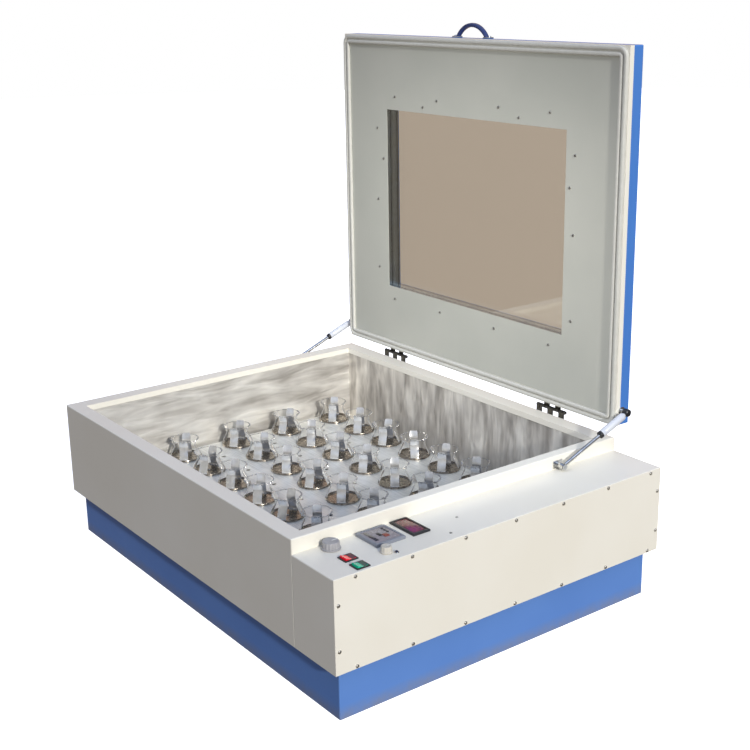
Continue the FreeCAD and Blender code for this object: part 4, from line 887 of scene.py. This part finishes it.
# ---- lid seal ----
# One length of extruded pale grey silicone with two lips, bent round the frame's corners and glued.
# It is soft and satin, with a bright line along each lip.
seal_tree, given = geometry_tree("extruded_seal", {
    "Width": "Float", "Height": "Float", "Corner": "Float", "Centre": "Vector", "Section": "Object",
    "Finish": "Material"})
outline = node(seal_tree, "GeometryNodeCurvePrimitiveQuadrilateral",
               {"Width": given["Width"], "Height": given["Height"]})
rounded = node(seal_tree, "GeometryNodeFilletCurve", {0: outline.outputs[0], "Radius": given["Corner"],
                                                      "Count": 8}, mode="POLY")
steady = node(seal_tree, "GeometryNodeSetCurveNormal", {0: rounded.outputs[0]}, mode="Z_UP")
section = node(seal_tree, "GeometryNodeObjectInfo", {"Object": given["Section"]})
profile = node(seal_tree, "GeometryNodeMeshToCurve", {0: section.outputs["Geometry"]})
swept = node(seal_tree, "GeometryNodeCurveToMesh", {0: steady.outputs[0], 1: profile.outputs[0]})
stood = node(seal_tree, "GeometryNodeTransform", {0: swept.outputs[0], "Translation": given["Centre"],
                                                  "Rotation": (math.pi / 2, 0, 0)})
close_tree(seal_tree, stood.outputs[0], given["Finish"])
lips = [(-11, 0), (-11, 5.6), (-10.2, 7.2), (-8.4, 8), (-4.6, 8), (-2.8, 7.3), (-2.0, 6.0), (-1.6, 3.8),
        (1.6, 3.8), (2.0, 6.0), (2.8, 7.3), (4.6, 8), (8.4, 8), (10.2, 7.2), (11, 5.6), (11, 0)]
mesh = bpy.data.meshes.new("seal_section")
links = [(i, (i + 1) % len(lips)) for i in range(len(lips))]
mesh.from_pydata([Vector((x, -y, 0)) / 1000 for x, y in lips], links, [])
sample = bpy.data.objects.new("seal_section", mesh)
silicone = moulded("pale_grey_silicone_extrusion", "#CFCEC6", "#BFBDB3", 0.5, 0.002)
grown("lid_seal", seal_tree, bpy.data.meshes.new("seal"), {
    "Width": 1.024, "Height": 0.836, "Corner": 0.013, "Centre": (-0.0705, 0.4503, 0.802),
    "Section": sample, "Finish": silicone}, "lid", 45, ("lid_seal",))
bpy.data.objects.remove(sample)


# ---- window ----
# Two panes of 4 mm float glass, puttied in the reveal with an air gap between them. Float glass has
# a faint green tint.
def float_glass(name, colour):
    """Clear glass with a faint tint and a thin film of dried damp that dulls it in patches."""
    glass, tree, shader, place = patterned(name)
    film = node(tree, "ShaderNodeTexNoise", {"Vector": place, "Scale": 1 / 0.2, "Detail": 3.0})
    haze = node(tree, "ShaderNodeMapRange", {"Value": film.outputs[0], "From Min": 0.4, "From Max": 0.8,
                                             "To Min": 0.0, "To Max": 0.06})
    tree.links.new(haze.outputs[0], shader.inputs["Roughness"])
    shader.inputs["Base Color"].default_value = linear(colour)
    shader.inputs["Transmission Weight"].default_value = 1.0
    shader.inputs["IOR"].default_value = 1.5
    return glass


finish(float_glass("float_glass_pane", "#F4FAF7"), "inner_pane", "outer_pane")

# ---- lid handle ----
# An arched grip moulded in glossy dark blue plastic with two flat feet, and a chromed screw through
# each foot into the lid's edge.
handle_blue = moulded("dark_blue_moulded_grip", "#2A3560", "#34406E", 0.2)
bm = bmesh.new()
middle = Vector((LEFT + 506, 477.3, 1233))
half_span, rise = 55.0, 31.5
arc_r = (half_span ** 2 + rise ** 2) / (2 * rise)
sweep = math.asin(half_span / arc_r)
THICK, WIDE, SQUARENESS = 5.2, 7.8, 0.6         # half sizes of the grip, and how square its section is
loops = []
for i in range(25):
    along = i / 12 - 1
    out = Vector((math.sin(sweep * along), 0, math.cos(sweep * along)))
    spine = middle + Vector((0, 0, rise - arc_r)) + out * arc_r
    swell = 1.0 - 0.25 * abs(along)
    loop = []
    for k in range(12):
        c, s = math.cos(2 * math.pi * k / 12), math.sin(2 * math.pi * k / 12)
        c, s = (math.copysign(abs(v) ** SQUARENESS, v) * swell for v in (c, s))
        loop.append(bm.verts.new((spine + out * c * THICK + Vector((0, s * WIDE, 0))) / 1000))
    loops.append(loop)
for a, b in zip(loops, loops[1:]):
    for k in range(12):
        bm.faces.new((a[k], a[(k + 1) % 12], b[(k + 1) % 12], b[k]))
for loop in (loops[0], loops[-1]):
    bm.faces.new(loop)
for v in bm.verts:
    v.co.z = max(v.co.z, middle.z / 1000 + 0.0005)
for side in (-1, 1):
    x = middle.x + side * 58
    block(bm, (x - 12, middle.y - WIDE, middle.z), (x + 12, middle.y + WIDE, middle.z + 4), 1.2, 1)
    turned(bm, [(0, 4), (4.2, 4), (4.0, 5.4), (2.4, 6.4), (0, 6.6)], 16,
           Matrix.Translation(Vector((x + side * 6, middle.y, middle.z)) / 1000) @ MM, 1)
solid("lid_handle", bm, "lid", handle_blue, chrome, smooth=50, stands_for=("lid_handle",))

# ---- lid hinges ----
# Two five-knuckle butt hinges pressed from zinc-plated steel, on turned pins, screwed to the casing
# and the lid. Their plating is painted dull and dark: painted shade, for the shadowed gap they sit in.
zinc_painted_for_shade = bare_metal("zinc_hinges_painted_dark_shade", "#75726B", "#3E3B36", 0.35, 0.6,
                       (0.006, 0.006, 0.006), 0.01)
finish(zinc_painted_for_shade, "case_hinge_leaves", "lid_hinge_leaves")
finish(ground_steel, "hinge_pins")

# ---- gas struts ----
# A hard-chromed rod on a plated bracket, and a silver-painted gas cylinder with a black end cap and
# a black nylon ball socket on the lid's stud.
finish(chrome, "left_strut_rod", "right_strut_rod", "strut_brackets", "strut_studs")
strut_silver = enamel("silver_painted_cylinder", "#C9CCD2", "#BFC3CA")
foot, head = Vector((0, 263, 324)), Vector((0, 467, 406))
length = (head - foot).length
aim, sideways = (head - foot).normalized(), Vector((1, 0, 0))
along_strut = Matrix((sideways, aim.cross(sideways), aim)).transposed().to_4x4()
for side, x, inward in (("left", LEFT - 18, 1), ("right", WALL + 18, -1)):
    name = side + "_strut_cylinder"
    place = MM @ Matrix.Translation(foot + Vector((x, 0, 0))) @ along_strut
    bm = bmesh.new()
    turned(bm, [(4.7, 203), (4.7, 124.2), (7.6, 124.2), (8.3, 124.8), (8.6, 126), (8.6, 131)], 28,
           place, 1)
    turned(bm, [(8.6, 131), (9.0, 131.4), (9.0, 138), (8.4, 139), (8.4, 140.2), (9.0, 141.2), (9.0, 202),
                (8.2, 206), (5.4, 209), (5.0, 210)], 28, place, 0)
    turned(bm, [(5.0, 210), (6.2, 210.2), (6.4, 212), (5.4, 214), (5.2, length), (0, length)], 28,
           place, 1)
    turned(bm, [(4.7, 203), (0, 203)], 28, place, 1)
    bmesh.ops.remove_doubles(bm, verts=bm.verts, dist=1e-7)
    inwards = Matrix(((0, 1, 0), (0, 0, 1), (inward, 0, 0))).transposed().to_4x4()
    socket = MM @ Matrix.Translation(head + Vector((x, 0, 0))) @ inwards
    turned(bm, [(0, -7), (6.5, -7), (8.4, -5.6), (9.0, -3), (9.0, 6), (8.2, 8.4), (7.6, 9), (0, 9)], 28,
           socket, 1)
    solid(name, bm, name, strut_silver, black_abs, stands_for=(name,))
